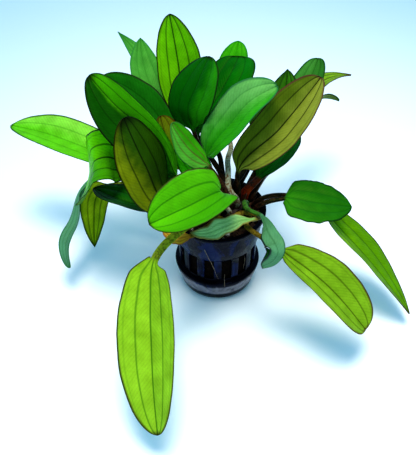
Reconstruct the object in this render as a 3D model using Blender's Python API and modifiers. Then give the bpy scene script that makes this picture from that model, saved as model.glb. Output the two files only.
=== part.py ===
"""Potted amazon sword plant: a slotted net pot, its growing medium, the rhizome and thirty-two leaves.

Lengths are millimetres here and metres in the model. The origin is the centre of the pot's underside,
+Z is up, and -Y is the front.
"""
import math
from typing import NamedTuple

import bmesh
import bpy
import numpy as np

MM = 0.001  # model units (metres) in one millimetre

# ---- driving dimensions of the pot
POT_HEIGHT = 52.0
RIM_RADIUS = 26.2
RIM_THICKNESS = 1.3
WALL_TOP_RADIUS = 25.0
WALL_LOW_RADIUS = 22.8
BAR_RADIUS = 21.9  # outer radius of the upright bars between the slots
LEDGE_RADIUS = 24.0  # the cup under the slots stands proud of the bars
LEDGE_HEIGHT = 16.5
FOOT_RADIUS = 21.0
BASE_RADIUS = 19.5
WALL = 1.3
FLOOR = 1.6
SLOT_COUNT = 14
SLOT_WIDTH = 5.6
SLOT_BOTTOM = 18.5
SLOT_TOP = 32.5
DRAIN_COUNT = 6
DRAIN_RADIUS = 1.8
DRAIN_RING = 12.0
POT_SEGMENTS = 42

# ---- driving dimensions of the growing medium and the rhizome
GAP = 0.35  # clearance left between pieces that touch
MEDIUM_EDGE = 46.0  # height of the medium where it meets the wall
MEDIUM_RISE = 0.6
MEDIUM_LUMP = 0.9
MEDIUM_SEGMENTS = 28
SEAT_RADIUS = 12.5  # flat seat under the rhizome
CROWN_X = 7.0
CROWN_Y = 1.0
CROWN_TOP = 54.0
CROWN_BOTTOM = 47.5
CROWN_RADIUS = 13.8
CROWN_FALL = 4.0  # the domed top is this much lower at its edge
CROWN_DOME = 2.2  # power of the dome, 2 is a parabola
CROWN_SEGMENTS = 20

# ---- driving dimensions of the leaves
ROOT_RADIUS = 1.65  # a petiole where it leaves the rhizome
COLLAR_RADIUS = 1.25  # the same petiole where the blade starts
BLADE_THICKNESS = 0.8
KEEL_DEPTH = 0.9  # the midrib stands out below the blade
FLAT_FROM = 0.13  # share of the blade over which the round petiole turns into the flat blade
LOBE_START = 0.05  # share of the blade over which its lobes set in
RING_RADII = {"centre": 0.0, "inner": 4.0, "middle": 8.0, "outer": 12.0}
ROOT_RISE = 4.0  # a petiole leaves the rhizome squarely for this far
BLADE_STATIONS = (0.0, 0.05, 0.15, 0.29, 0.44, 0.59, 0.74, 0.87, 0.96)
# places round a section: share of the half width, and +1 on the upper face, -1 on the lower one, 0 on an edge
SECTION_PLACES = ((-1, 0), (-0.5, 1), (0, 1), (0.5, 1), (1, 0), (0.5, -1), (0, -1), (-0.5, -1))
STALK_STEP = 16.0  # longest stretch between two sections of a petiole
CURVE_STEPS = 24  # samples in each span of a midrib curve


# colours of the leaves: fresh leaves are yellow-green, old and young ones bronze, undersides grey-green
TINTS = {
    "bright": "#74A91C",
    "green": "#3F8F16",
    "dark": "#1B5212",
    "olive": "#66701A",
    "bronze": "#4A4A14",
    "pale": "#5A9557",
    "dry": "#94722A",
}


class Leaf(NamedTuple):
    """One leaf, petiole and blade grown as one piece."""

    name: str
    tint: str
    ring: str  # ring of the rhizome that carries it
    bearing: float  # degrees round the rhizome, 0 is +X and 90 is the back
    stalk: tuple  # points of the petiole between rhizome and blade
    blade: tuple  # points of the midrib from the collar to the tip
    width: float
    roll: tuple = (0.0, 0.0)  # turn about the midrib at collar and tip, degrees
    fold: tuple = (14.0, 14.0)  # rise of the left and the right half, degrees
    curl: float = 12.0  # further rise from the midrib to the edge, degrees
    shape: tuple = (0.62, 0.72)  # outline powers at the base and at the tip
    lobes: tuple = (0.0, 0.0)  # how far the left and the right lobe reach back past the collar
    heading: float = None  # bearing that the blade runs to, if not that of collar to tip
    strap: float = 1.0  # width of the petiole over its depth


LEAVES = (
    Leaf("leaf_front_hanging", "bright", "outer", 229, ((-18, -26, 61),),
         ((-31.5, -43.5, 57.5), (-33, -66, 49.5), (-32, -84, 41), (-30.5, -103, 29.5),
         (-28.5, -117.5, 16.5)), 33, roll=(-4, -6), fold=(36, -4), shape=(0.52, 0.56), lobes=(0, 5),
         strap=1.7),
    Leaf("leaf_front_oval", "green", "middle", 266, ((1, -9, 65),),
         ((1, -15, 76), (-17, -31, 79.5), (-33.5, -41.5, 78.5)), 33, roll=(16, 30), fold=(25, 29),
         shape=(0.42, 0.45), lobes=(8, 5)),
    Leaf("leaf_left_bronze", "bronze", "middle", 240, (),
         ((-25.5, -10, 62.5), (-36.5, -11.5, 91), (-46, -5.5, 115)), 32, roll=(23, 23), fold=(-12, -12),
         shape=(0.56, 0.55)),
    Leaf("leaf_left_folded", "dark", "middle", 214, (),
         ((-20, 7.5, 64.5), (-31, 13.5, 87.5), (-52, 21.5, 102.5), (-67, 32.5, 114.5)), 38, roll=(56, -2),
         fold=(-4, 78), shape=(0.59, 0.63)),
    Leaf("leaf_left_shadow", "dark", "outer", 135, (),
         ((-24.5, 31, 66.5), (-44.5, 44.5, 83.5), (-66, 51.5, 99.5)), 32, roll=(20, 20), shape=(0.6, 0.5)),
    Leaf("leaf_far_left", "bright", "outer", 154, ((-20, 16.5, 58),),
         ((-50.5, 30.5, 57), (-76.5, 43, 60), (-98, 51.5, 63), (-121.5, 60.5, 62.5)), 29, roll=(8, 8),
         shape=(0.55, 0.85)),
    Leaf("leaf_left_bent", "green", "middle", 188, ((-16, 7, 58),),
         ((-38, 14.5, 65), (-53, 12, 75.5), (-59.5, 9, 79.5), (-64, 8, 78.5), (-66.5, 9, 73.5),
         (-68, 9.5, 67), (-70.5, 8.5, 57.5), (-75.5, 7, 48.5)), 36, roll=(44, -22), fold=(0, 8),
         shape=(0.85, 0.5), heading=180),
    Leaf("leaf_left_low", "dark", "outer", 209, (),
         ((-32, -6, 56.5), (-50, -3.5, 60), (-67, 6, 60.5)), 23, roll=(-10, -10)),
    Leaf("leaf_left_hanging_olive", "olive", "outer", 171, ((-24, 13, 53.5),),
         ((-57.5, 25, 47.5), (-65, 26.5, 44.5), (-70, 24.5, 37.5), (-71.5, 18, 26.5), (-71.5, 9, 13)), 17,
         shape=(0.62, 0.9), heading=265),
    Leaf("leaf_left_hanging_grey", "pale", "outer", 191, ((-30.5, 11, 57), (-48, 18.5, 59)),
         ((-63.5, 23, 56.5), (-76.5, 21.5, 44.5), (-79.5, 7, 35), (-84.5, -4, 28), (-82.5, -13, 18.5)), 12,
         roll=(-60, 0), shape=(0.6, 0.45), heading=230),
    Leaf("leaf_top_bright", "bright", "inner", 115, (),
         ((-15.5, 50.5, 72.5), (-20, 61.5, 85.5), (-22.5, 73, 98.5), (-27.5, 94, 116.5)), 27.5,
         fold=(11, 11), shape=(0.52, 0.65)),
    Leaf("leaf_top_dark", "dark", "inner", 168, ((-6, 18, 67),),
         ((-13, 26.5, 83.5), (-16, 29.5, 95), (-11, 34, 108), (-4.5, 43, 119.5)), 29, roll=(4, 16),
         fold=(-8, -2), shape=(0.42, 0.45)),
    Leaf("leaf_back_pale", "pale", "middle", 135, ((-10, 35.5, 62.5),),
         ((-27.5, 53.5, 72.5), (-41.5, 80, 86), (-46, 103, 96)), 22, shape=(0.55, 0.8)),
    Leaf("leaf_back_point", "green", "outer", 116, ((-9, 33, 57),),
         ((-27.5, 70, 64), (-42.5, 100, 78), (-62, 125.5, 87.5)), 18.5, shape=(0.5, 1.0)),
    Leaf("leaf_back_tip", "green", "inner", 320,
         ((6, 0.5, 64.5), (5.5, 10.5, 69.5), (5.5, 21, 69), (7.5, 32.5, 68)),
         ((2, 60, 68), (8.5, 85.5, 80.5), (13.5, 109, 90.5)), 20, shape=(0.6, 0.55)),
    Leaf("leaf_top_right_dark", "dark", "middle", 108, ((2.5, 17, 63), (0, 25.5, 70.5)),
         ((-10.5, 31.5, 75.5), (2, 52, 92), (9, 63, 100), (12, 71, 102.5)), 29, roll=(4.5, 4.5),
         fold=(-4, -3), shape=(0.62, 0.31)),
    Leaf("leaf_centre_pale", "pale", "centre", 0, (),
         ((-6, 15, 73), (-3, 15.5, 82), (6.5, 17, 95.5), (16.5, 18.5, 108.5), (30, 21, 115.5)), 26,
         roll=(-21, -24), fold=(16, 15), shape=(0.6, 0.54)),
    Leaf("leaf_right_bronze", "olive", "inner", 28, (),
         ((10.5, 8.5, 69), (32, 17, 92), (54, 37, 110.5)), 29.5, roll=(-41, -14), fold=(30, 25),
         shape=(0.6, 0.57)),
    Leaf("leaf_right_back_round", "pale", "outer", 70, ((16.5, 25, 57.5),),
         ((26, 54.5, 69.5), (48, 72.5, 74), (61.5, 99, 84.5)), 20, shape=(0.6, 0.45)),
    Leaf("leaf_right_back_olive", "bronze", "middle", 80, ((14.5, 20.5, 61),),
         ((19, 47.5, 69), (37, 65, 76.5), (42, 87, 84.5)), 21, shape=(0.6, 0.83)),
    Leaf("leaf_right_back_point", "bright", "outer", 50, ((20.5, 22, 57.5),),
         ((40.5, 59, 62), (55.5, 86, 69), (69, 100, 69.5), (85.5, 111, 65)), 15.5, shape=(0.6, 0.8)),
    Leaf("leaf_right_back_low", "olive", "outer", 30, ((24, 17, 57), (33, 41, 48.5)),
         ((39.5, 60.5, 50.5), (54.5, 85, 58), (66.5, 91, 61.5), (76, 90, 60)), 16, roll=(35, 35),
         shape=(0.6, 0.5)),
    Leaf("leaf_right_dark", "dark", "middle", 35, (),
         ((22, 14.5, 60.5), (33.5, 27.5, 65.5), (46, 43, 70)), 24, roll=(11, 11), fold=(14, 13),
         shape=(0.64, 0.78), strap=2.0),
    Leaf("leaf_right_round", "dark", "outer", 345, (),
         ((35.5, -2, 60.5), (52.5, -5, 60), (71, -5.5, 57.5)), 27, roll=(-17, -17), fold=(-5, 1),
         shape=(0.37, 0.58), lobes=(1, 3)),
    Leaf("leaf_far_right", "bright", "outer", 5, ((36, 5, 57),),
         ((55.5, 1.5, 50), (68.5, -6.5, 40), (85, -18, 26), (104, -38.5, 9)), 29, roll=(17, 23),
         fold=(8, 13), shape=(0.57, 0.82)),
    Leaf("leaf_right_low", "bright", "outer", 312, ((14.5, -16.5, 55.5), (23, -26, 54.5)),
         ((30, -31.5, 53), (54.5, -47, 42), (75, -60.5, 22.5)), 29, roll=(-6, -6), fold=(18, 21),
         shape=(0.6, 0.41)),
    Leaf("leaf_right_curl", "pale", "middle", 335, ((14, -6.5, 61.5), (15, -12.5, 62.5)),
         ((21.5, -18.5, 63.5), (24.5, -23.5, 65.5), (28.5, -32, 65.5), (32, -38, 63), (32, -42.5, 60),
         (28, -45.5, 55.5), (21.5, -45.5, 52.5)), 19.5, roll=(35, -25), fold=(58, 52), shape=(0.6, 0.4),
         heading=180),
    Leaf("leaf_rim_pale", "pale", "outer", 267, ((12.5, -10.5, 55), (18, -12, 56), (21.5, -15, 58)),
         ((19, -18.5, 61), (10.5, -20.5, 61), (2, -23.5, 59.5), (-7, -26.5, 58), (-14.5, -26, 58.5)), 12,
         roll=(0, 40), fold=(4, 4), shape=(0.9, 0.9), lobes=(0, 0)),
    Leaf("leaf_rim_yellow", "dry", "outer", 248, (),
         ((-14.5, -24.5, 54.5), (-22, -26, 54.5), (-28.5, -25, 58)), 11, roll=(20, 20), shape=(0.7, 0.7)),
    Leaf("leaf_centre_small", "pale", "inner", 268, (),
         ((-5, 0.5, 80.5), (-15.5, -1, 93.5), (-23.5, 0, 107.5)), 20, roll=(18, 18), fold=(-6, -6),
         shape=(0.7, 0.58)),
    Leaf("leaf_centre_green", "green", "inner", 221, (),
         ((-5, 3.5, 68), (-15.5, 5.5, 81), (-22, 9, 91)), 17, roll=(48, 48)),
    Leaf("leaf_centre_bronze", "bronze", "middle", 162, (),
         ((-18, 17.5, 64), (-27, 22, 80.5), (-31, 28, 92.5)), 20, shape=(0.6, 0.45)),
)


def clear_scene():
    """Remove whatever the file holds already."""
    for item in list(bpy.data.objects):
        bpy.data.objects.remove(item, do_unlink=True)


def colour(hex_code):
    """Linear RGBA of an sRGB hex colour."""
    parts = [int(hex_code[i:i + 2], 16) / 255 for i in (1, 3, 5)]
    linear = [c / 12.92 if c <= 0.04045 else ((c + 0.055) / 1.055) ** 2.4 for c in parts]
    return (*linear, 1.0)


def material(name, hex_code, roughness):
    """Principled material with one colour and roughness."""
    made = bpy.data.materials.new(name)
    made.use_nodes = True
    shader = made.node_tree.nodes["Principled BSDF"]
    shader.inputs["Base Color"].default_value = colour(hex_code)
    shader.inputs["Roughness"].default_value = roughness
    shader.inputs["Metallic"].default_value = 0.0
    made.diffuse_color = colour(hex_code)
    return made


def add_object(name, mesh, collection, finish=None):
    """Object of a mesh, in its collection and with its material."""
    made = bpy.data.objects.new(name, mesh)
    collection.objects.link(made)
    if finish is not None:
        mesh.materials.append(finish)
    return made


def smooth(obj, angle=40):
    """Shade smooth, with edges sharper than the angle left sharp."""
    obj.data.shade_smooth()
    obj.data.set_sharp_from_angle(angle=math.radians(angle))


def mesh_from(bm, name):
    """Mesh of a bmesh, with its faces turned outwards."""
    bmesh.ops.recalc_face_normals(bm, faces=bm.faces)
    mesh = bpy.data.meshes.new(name)
    bm.to_mesh(mesh)
    bm.free()
    return mesh


# ---- pot

def pot_profile():
    """Outlines of the pot as (radius, height): the outside from rim to base, and the inside back up."""
    outer = [
        (RIM_RADIUS, POT_HEIGHT),
        (RIM_RADIUS, POT_HEIGHT - RIM_THICKNESS),
        (WALL_TOP_RADIUS, POT_HEIGHT - RIM_THICKNESS - 0.5),
        (WALL_LOW_RADIUS, SLOT_TOP + 1.5),
        (BAR_RADIUS, SLOT_TOP + 0.5),
        (BAR_RADIUS - 0.3, LEDGE_HEIGHT),
        (LEDGE_RADIUS - 0.6, LEDGE_HEIGHT),
        (LEDGE_RADIUS, LEDGE_HEIGHT - 0.8),
        (FOOT_RADIUS, 4.0),
        (BASE_RADIUS + 0.6, 1.0),
        (BASE_RADIUS, 0.0),
    ]
    inner = [
        (BASE_RADIUS - WALL, FLOOR),
        (FOOT_RADIUS - WALL - 0.3, 4.5),
        (BAR_RADIUS - 0.3 - WALL, LEDGE_HEIGHT - 1.0),
        (BAR_RADIUS - WALL, SLOT_TOP + 0.5),
        (WALL_TOP_RADIUS - WALL, POT_HEIGHT),
    ]
    return outer, inner


def turned(name, profile, segments, collection, finish=None):
    """Solid of revolution of a profile of (radius, height), top to bottom on its outer side."""
    mesh = bpy.data.meshes.new(name)
    points = [(radius * MM, 0.0, height * MM) for radius, height in profile]
    mesh.from_pydata(points, [(i, i + 1) for i in range(len(points) - 1)], [])
    made = add_object(name, mesh, collection, finish)
    screw = made.modifiers.new("turn", "SCREW")
    screw.angle = math.tau
    screw.steps = segments
    screw.render_steps = segments
    screw.use_merge_vertices = True
    screw.merge_threshold = 0.00001
    return made


def cutter_box(name, size, place, turn, collection):
    """Box that cuts one slot, its size and place in millimetres."""
    bm = bmesh.new()
    bmesh.ops.create_cube(bm, size=1.0)
    bmesh.ops.scale(bm, vec=[side * MM for side in size], verts=bm.verts)
    made = add_object(name, mesh_from(bm, name), collection)
    made.location = [value * MM for value in place]
    made.rotation_euler = (0.0, 0.0, turn)
    made.hide_render = True
    made.display_type = "WIRE"
    return made


def cutter_drill(name, radius, place, depth, collection):
    """Round cutter of a drain hole."""
    bm = bmesh.new()
    size = radius * MM
    bmesh.ops.create_cone(bm, cap_ends=True, segments=10, radius1=size, radius2=size, depth=depth * MM)
    made = add_object(name, mesh_from(bm, name), collection)
    made.location = [value * MM for value in place]
    made.hide_render = True
    made.display_type = "WIRE"
    return made


def make_pot(parts, cutters, finish):
    """Net pot: turned wall and floor, cut by the upright slots and the drain holes."""
    outer, inner = pot_profile()
    profile = outer + [(0.0, 0.0), (0.0, FLOOR)] + inner + [outer[0]]
    pot = turned("net_pot", profile, POT_SEGMENTS, parts, finish)
    height = SLOT_TOP - SLOT_BOTTOM
    tools = []
    for number in range(SLOT_COUNT):
        bearing = math.tau * (number + 0.5) / SLOT_COUNT - math.pi / 2
        place = (BAR_RADIUS * math.cos(bearing), BAR_RADIUS * math.sin(bearing), SLOT_BOTTOM + height / 2)
        size = (6.0, SLOT_WIDTH, height)
        tools.append(cutter_box(f"slot_cutter_{number + 1:02d}", size, place, bearing, cutters))
    for number in range(DRAIN_COUNT):
        bearing = math.tau * number / DRAIN_COUNT
        place = (DRAIN_RING * math.cos(bearing), DRAIN_RING * math.sin(bearing), FLOOR / 2)
        tools.append(cutter_drill(f"drain_cutter_{number + 1:02d}", DRAIN_RADIUS, place, 4 * FLOOR, cutters))
    for tool in tools:
        cut = pot.modifiers.new(tool.name, "BOOLEAN")
        cut.operation = "DIFFERENCE"
        cut.object = tool
    return pot


# ---- growing medium and rhizome

def lump(x, y):
    """Height of the medium's uneven top at a place, from -1 to 1."""
    return 0.5 * math.sin(0.55 * x + 1.3) * math.cos(0.48 * y - 0.4) + 0.5 * math.sin(0.9 * y + 0.35 * x)


def ring_points(x, y, radius):
    """Points of a level ring as (x, y), one for each segment of the medium."""
    turns = [math.tau * number / MEDIUM_SEGMENTS for number in range(MEDIUM_SEGMENTS)]
    return [(x + radius * math.cos(turn), y + radius * math.sin(turn)) for turn in turns]


def make_medium(parts, finish):
    """Plug of growing medium that fills the pot, uneven on top and rising to a seat under the rhizome."""
    _, inner = pot_profile()
    wall = [(radius - GAP, height) for radius, height in inner[:-1]]
    wall[0] = (wall[0][0], FLOOR + GAP)
    slope = (WALL_TOP_RADIUS - BAR_RADIUS) / (POT_HEIGHT - SLOT_TOP)
    wall.append((BAR_RADIUS - WALL - GAP + slope * (MEDIUM_EDGE - SLOT_TOP - 0.5), MEDIUM_EDGE))
    rings = [[(0.0, 0.0, FLOOR + GAP)]]
    for radius, height in wall:
        rings.append([(x, y, height) for x, y in ring_points(0.0, 0.0, radius)])
    edge = ring_points(0.0, 0.0, wall[-1][0])
    seat = ring_points(CROWN_X, CROWN_Y, SEAT_RADIUS)
    for share in (0.3, 0.65):
        ring = []
        for outer, within in zip(edge, seat):
            x = outer[0] + (within[0] - outer[0]) * share
            y = outer[1] + (within[1] - outer[1]) * share
            ring.append((x, y, MEDIUM_EDGE + MEDIUM_RISE + MEDIUM_LUMP * lump(x, y)))
        rings.append(ring)
    rings.append([(x, y, CROWN_BOTTOM - GAP) for x, y in seat])
    rings.append([(CROWN_X, CROWN_Y, CROWN_BOTTOM - GAP)])
    bm = bmesh.new()
    skin(bm, [[bm.verts.new((x * MM, y * MM, z * MM)) for x, y, z in ring] for ring in rings])
    made = add_object("growing_medium", mesh_from(bm, "growing_medium"), parts, finish)
    smooth(made)
    return made


def skin(bm, rings):
    """Faces between neighbouring rings of vertices; a ring of one vertex closes the skin to a point."""
    for lower, upper in zip(rings, rings[1:]):
        count = max(len(lower), len(upper))
        for number in range(count):
            after = (number + 1) % count
            corners = [
                lower[number % len(lower)],
                lower[after % len(lower)],
                upper[after % len(upper)],
                upper[number % len(upper)],
            ]
            unique = list(dict.fromkeys(corners))
            if len(unique) >= 3:
                bm.faces.new(unique)


def crown_height(radius):
    """Height of the rhizome's domed top at a radius from its axis."""
    share = min(1.0, radius / CROWN_RADIUS)
    return CROWN_TOP - CROWN_FALL * share ** CROWN_DOME


def make_rhizome(parts, finish):
    """Short thick rhizome, a dome with a flat underside that rests on the medium."""
    profile = [(0.0, CROWN_TOP)]
    for share in (0.35, 0.65, 0.88, 1.0):
        profile.append((CROWN_RADIUS * share, crown_height(CROWN_RADIUS * share)))
    profile.append((CROWN_RADIUS * 0.96, CROWN_BOTTOM + 0.8))
    profile.append((CROWN_RADIUS * 0.85, CROWN_BOTTOM))
    profile.append((0.0, CROWN_BOTTOM))
    made = turned("rhizome", profile, CROWN_SEGMENTS, parts, finish)
    made.location = (CROWN_X * MM, CROWN_Y * MM, 0.0)
    return made


# ---- leaves

def curve_through(points):
    """Smooth curve through points: its samples, their unit tangents and the length up to each."""
    pts = np.array(points, float)
    spans = np.linalg.norm(np.diff(pts, axis=0), axis=1)
    slopes = np.diff(pts, axis=0) / spans[:, None]
    inner = slopes[:-1] * spans[1:, None] + slopes[1:] * spans[:-1, None]
    inner /= (spans[:-1] + spans[1:])[:, None]
    first = 1.5 * slopes[0] - 0.5 * inner[0]
    last = 1.5 * slopes[-1] - 0.5 * inner[-1]
    tangents = np.vstack([first, inner, last])
    samples = [pts[0]]
    for number, span in enumerate(spans):
        for step in range(1, CURVE_STEPS + 1):
            t = step / CURVE_STEPS
            near = (2 * t ** 3 - 3 * t ** 2 + 1) * pts[number]
            near = near + (t ** 3 - 2 * t ** 2 + t) * span * tangents[number]
            far = (3 * t ** 2 - 2 * t ** 3) * pts[number + 1]
            far = far + (t ** 3 - t ** 2) * span * tangents[number + 1]
            samples.append(near + far)
    samples = np.array(samples)
    directions = np.gradient(samples, axis=0)
    directions /= np.linalg.norm(directions, axis=1)[:, None]
    lengths = np.concatenate([[0.0], np.cumsum(np.linalg.norm(np.diff(samples, axis=0), axis=1))])
    return samples, directions, lengths


def root_points(leaf):
    """Two points at a petiole's root: just off the rhizome, and a little further along its normal."""
    radius = RING_RADII[leaf.ring]
    bearing = math.radians(leaf.bearing)
    step = 0.1
    slope = (crown_height(radius) - crown_height(radius + step)) / step
    lean = math.atan(slope)
    points = []
    for rise in (GAP, GAP + ROOT_RISE):
        reach = radius + rise * math.sin(lean)
        x = CROWN_X + reach * math.cos(bearing)
        y = CROWN_Y + reach * math.sin(bearing)
        points.append((x, y, crown_height(radius) + rise * math.cos(lean)))
    return points


def half_width(leaf, along):
    """Half width of a blade at a share of its length."""
    base, tip = leaf.shape
    peak = base / (base + tip)
    along = min(max(along, 0.0), 1.0)
    return 0.5 * leaf.width * (along / peak) ** base * ((1.0 - along) / (1.0 - peak)) ** tip


def ease(value):
    """Smooth step from 0 to 1."""
    value = min(max(value, 0.0), 1.0)
    return value * value * (3.0 - 2.0 * value)


def lobe_reach(leaf, along, u):
    """How far a point of the blade is swept back towards the petiole, to make lobes beside the collar."""
    lobe = leaf.lobes[0] if u < 0 else leaf.lobes[1]
    return lobe * abs(u) ** 1.5 * (1.0 - min(max(along, 0.0), 1.0)) ** 4 * ease(along / LOBE_START)


def section(leaf, along, radius):
    """Closed section of a leaf as (across, up) pairs, eight round it; along is negative on the petiole."""
    flat = ease(along / FLAT_FROM)
    strap = radius * leaf.strap
    width = max(half_width(leaf, along), strap)
    thick = 0.5 * BLADE_THICKNESS
    keel = thick + KEEL_DEPTH * (1.0 - max(along, 0.0)) ** 1.3
    points = []
    for number, (u, face) in enumerate(SECTION_PLACES):
        angle = math.pi - number * math.pi / 4
        fold = leaf.fold[0] if u < 0 else leaf.fold[1]
        lift = math.radians(fold + 0.5 * leaf.curl * abs(u))
        across = u * width * math.cos(lift)
        up = abs(u) * width * math.sin(lift)
        if u == 0:
            up += thick if face > 0 else -keel
        else:
            across -= face * thick * math.sin(lift) * math.copysign(1.0, u)
            up += face * thick * math.cos(lift)
        round_across, round_up = strap * math.cos(angle), radius * math.sin(angle)
        points.append((round_across + (across - round_across) * flat, round_up + (up - round_up) * flat))
    return points


def leaf_stations(leaf):
    """Places along a leaf: (sample index, share along the blade, petiole radius) from root to tip."""
    points = [*root_points(leaf), *leaf.stalk, *leaf.blade]
    samples, directions, lengths = curve_through(points)
    collar = lengths[CURVE_STEPS * (2 + len(leaf.stalk))]
    total = lengths[-1]
    count = max(2, round(collar / STALK_STEP))
    marks = [(collar * step / count, -1.0 + step / count) for step in range(count)]
    marks += [(collar + (total - collar) * share, share) for share in BLADE_STATIONS]
    marks.append((total, 1.0))
    places = []
    for distance, along in marks:
        spot = [np.interp(distance, lengths, samples[:, axis]) for axis in range(3)]
        way = np.array([np.interp(distance, lengths, directions[:, axis]) for axis in range(3)])
        radius = ROOT_RADIUS + (COLLAR_RADIUS - ROOT_RADIUS) * min(1.0, distance / collar)
        places.append((np.array(spot), way / np.linalg.norm(way), along, radius))
    return places


def leaf_frame(leaf, way, along):
    """Unit vectors across and up on a leaf, square to its midrib's direction."""
    collar, tip = np.array(leaf.blade[0], float), np.array(leaf.blade[-1], float)
    heading = leaf.heading
    if heading is None:
        heading = math.degrees(math.atan2(tip[1] - collar[1], tip[0] - collar[0]))
    side = np.array([math.sin(math.radians(heading)), -math.cos(math.radians(heading)), 0.0])
    side -= way * side.dot(way)
    side /= np.linalg.norm(side)
    up = np.cross(side, way)
    share = min(max(along, 0.0), 1.0)
    roll = math.radians(leaf.roll[0] + (leaf.roll[1] - leaf.roll[0]) * share)
    return side * math.cos(roll) + up * math.sin(roll), up * math.cos(roll) - side * math.sin(roll)


def blade_skin(bm, rings, tip):
    """Triangles over a leaf's sections; the two faces of the blade are cut along the same diagonals."""
    count = len(SECTION_PLACES)
    quarter = count // 4
    for lower, upper in zip(rings, rings[1:]):
        for number in range(count):
            after = (number + 1) % count
            near, near_after, far_after, far = lower[number], lower[after], upper[after], upper[number]
            if number // quarter % 2 == 0:
                bm.faces.new((near, near_after, far_after))
                bm.faces.new((near, far_after, far))
            else:
                bm.faces.new((near, near_after, far))
                bm.faces.new((near_after, far_after, far))
    for number in range(count):
        bm.faces.new((rings[-1][number], rings[-1][(number + 1) % count], tip))


def make_leaf(leaf, parts, finish):
    """Leaf as a loft of closed sections along its midrib, round at the petiole and flat in the blade."""
    bm = bmesh.new()
    rings = []
    places = leaf_stations(leaf)
    for spot, way, along, radius in places[:-1]:
        across, up = leaf_frame(leaf, way, along)
        ring = []
        for number, (sideways, rise) in enumerate(section(leaf, along, radius)):
            swept = spot - way * lobe_reach(leaf, along, SECTION_PLACES[number][0])
            ring.append(bm.verts.new((swept + across * sideways + up * rise) * MM))
        rings.append(ring)
    blade_skin(bm, rings, bm.verts.new(places[-1][0] * MM))
    bm.faces.new(rings[0])
    made = add_object(leaf.name, mesh_from(bm, leaf.name), parts, finish)
    smooth(made, 60)
    return made


def main():
    """Build the whole plant in its pot."""
    clear_scene()
    parts = bpy.data.collections.new("potted_amazon_sword_plant")
    cutters = bpy.data.collections.new("cutters")
    bpy.context.scene.collection.children.link(parts)
    bpy.context.scene.collection.children.link(cutters)
    make_pot(parts, cutters, material("pot_plastic", "#14161F", 0.25))
    make_medium(parts, material("growing_medium", "#2B2118", 0.9))
    make_rhizome(parts, material("rhizome_bark", "#2A1A12", 0.7))
    for leaf in LEAVES:
        make_leaf(leaf, parts, material(leaf.name, TINTS[leaf.tint], 0.35))


main()
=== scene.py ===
"""Looks of a potted amazon sword plant: a moulded net pot, its fibrous growing medium, the rhizome with its
sheaths, fine roots and thirty-two leaves, each grown as petiole and blade in one.

Sizes in the classes are millimetres. Meshes are metres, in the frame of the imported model: +Z up, -Y front.
"""

import logging
import math
from dataclasses import dataclass
from enum import Enum
from functools import partial

import bmesh
import bpy
import numpy as np
from mathutils import Euler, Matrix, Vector, noise


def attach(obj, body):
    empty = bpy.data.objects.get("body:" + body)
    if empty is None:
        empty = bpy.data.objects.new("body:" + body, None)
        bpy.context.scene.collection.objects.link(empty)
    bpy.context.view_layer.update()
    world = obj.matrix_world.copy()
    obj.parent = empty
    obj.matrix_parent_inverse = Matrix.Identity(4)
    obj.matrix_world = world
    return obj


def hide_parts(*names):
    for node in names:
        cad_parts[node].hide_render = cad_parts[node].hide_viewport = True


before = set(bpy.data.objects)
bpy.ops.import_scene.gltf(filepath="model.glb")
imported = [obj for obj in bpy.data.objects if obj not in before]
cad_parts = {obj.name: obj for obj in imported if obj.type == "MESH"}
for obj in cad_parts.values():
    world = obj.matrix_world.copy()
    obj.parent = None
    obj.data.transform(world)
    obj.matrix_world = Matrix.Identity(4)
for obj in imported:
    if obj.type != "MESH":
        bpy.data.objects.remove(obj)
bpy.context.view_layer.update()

logging.basicConfig(level=logging.INFO, format="%(message)s")
LOG = logging.getLogger("sword_plant")

MM = 0.001  # metres in a millimetre
PER_MM = 1000.0  # texture scale whose features are one millimetre
VECTOR = "ShaderNodeVectorMath"
MIX = "ShaderNodeMix"
RANGE = "ShaderNodeMapRange"
NOISE = "ShaderNodeTexNoise"
RANDOM = "FunctionNodeRandomValue"
SWITCH = "GeometryNodeSwitch"
SMOOTH = {"interpolation_type": "SMOOTHSTEP"}
CENTRED = (-0.5, -0.5, -0.5)  # makes a noise's colour a push to either side


# ---- shared helpers

def metres(*place: float) -> tuple[float, ...]:
    """Place in metres from one in millimetres."""
    return tuple(value * MM for value in place)


def linear(hex_code: str) -> tuple[float, float, float, float]:
    """Turn an sRGB hex colour to linear light.

    Args:
        hex_code: Colour as "#RRGGBB".

    Returns:
        Linear red, green and blue, and an alpha of 1.
    """
    parts = [int(hex_code[i:i + 2], 16) / 255 for i in (1, 3, 5)]
    red, green, blue = (c / 12.92 if c <= 0.04045 else ((c + 0.055) / 1.055) ** 2.4 for c in parts)
    return red, green, blue, 1.0


def add_node(tree: bpy.types.NodeTree, kind: str, inputs: dict | list | tuple = (),
             **settings: str | float | bool) -> bpy.types.Node:
    """Add a node with its settings, values and links.

    Args:
        tree: Tree that gets the node.
        kind: Node type, or in capitals an operation of the math node.
        inputs: Value, socket or node for each input: a list goes by number, a dict by name.
        settings: Properties of the node, set before its inputs.

    Returns:
        The new node. Where a node is given as an input, its first output in use is linked.
    """
    if kind.isupper():
        kind, settings = "ShaderNodeMath", {"operation": kind}
    node = tree.nodes.new(kind)
    for name, value in settings.items():
        setattr(node, name, value)
    if isinstance(inputs, dict):
        pairs = [(next(s for s in node.inputs if s.enabled and s.name == name), value)
                 for name, value in inputs.items()]
    else:
        pairs = list(zip(node.inputs, inputs))
    for socket, value in pairs:
        if isinstance(value, bpy.types.Node):
            value = next(s for s in value.outputs if s.enabled)
        if isinstance(value, bpy.types.NodeSocket):
            tree.links.new(value, socket)
        else:
            socket.default_value = value
    return node


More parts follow.
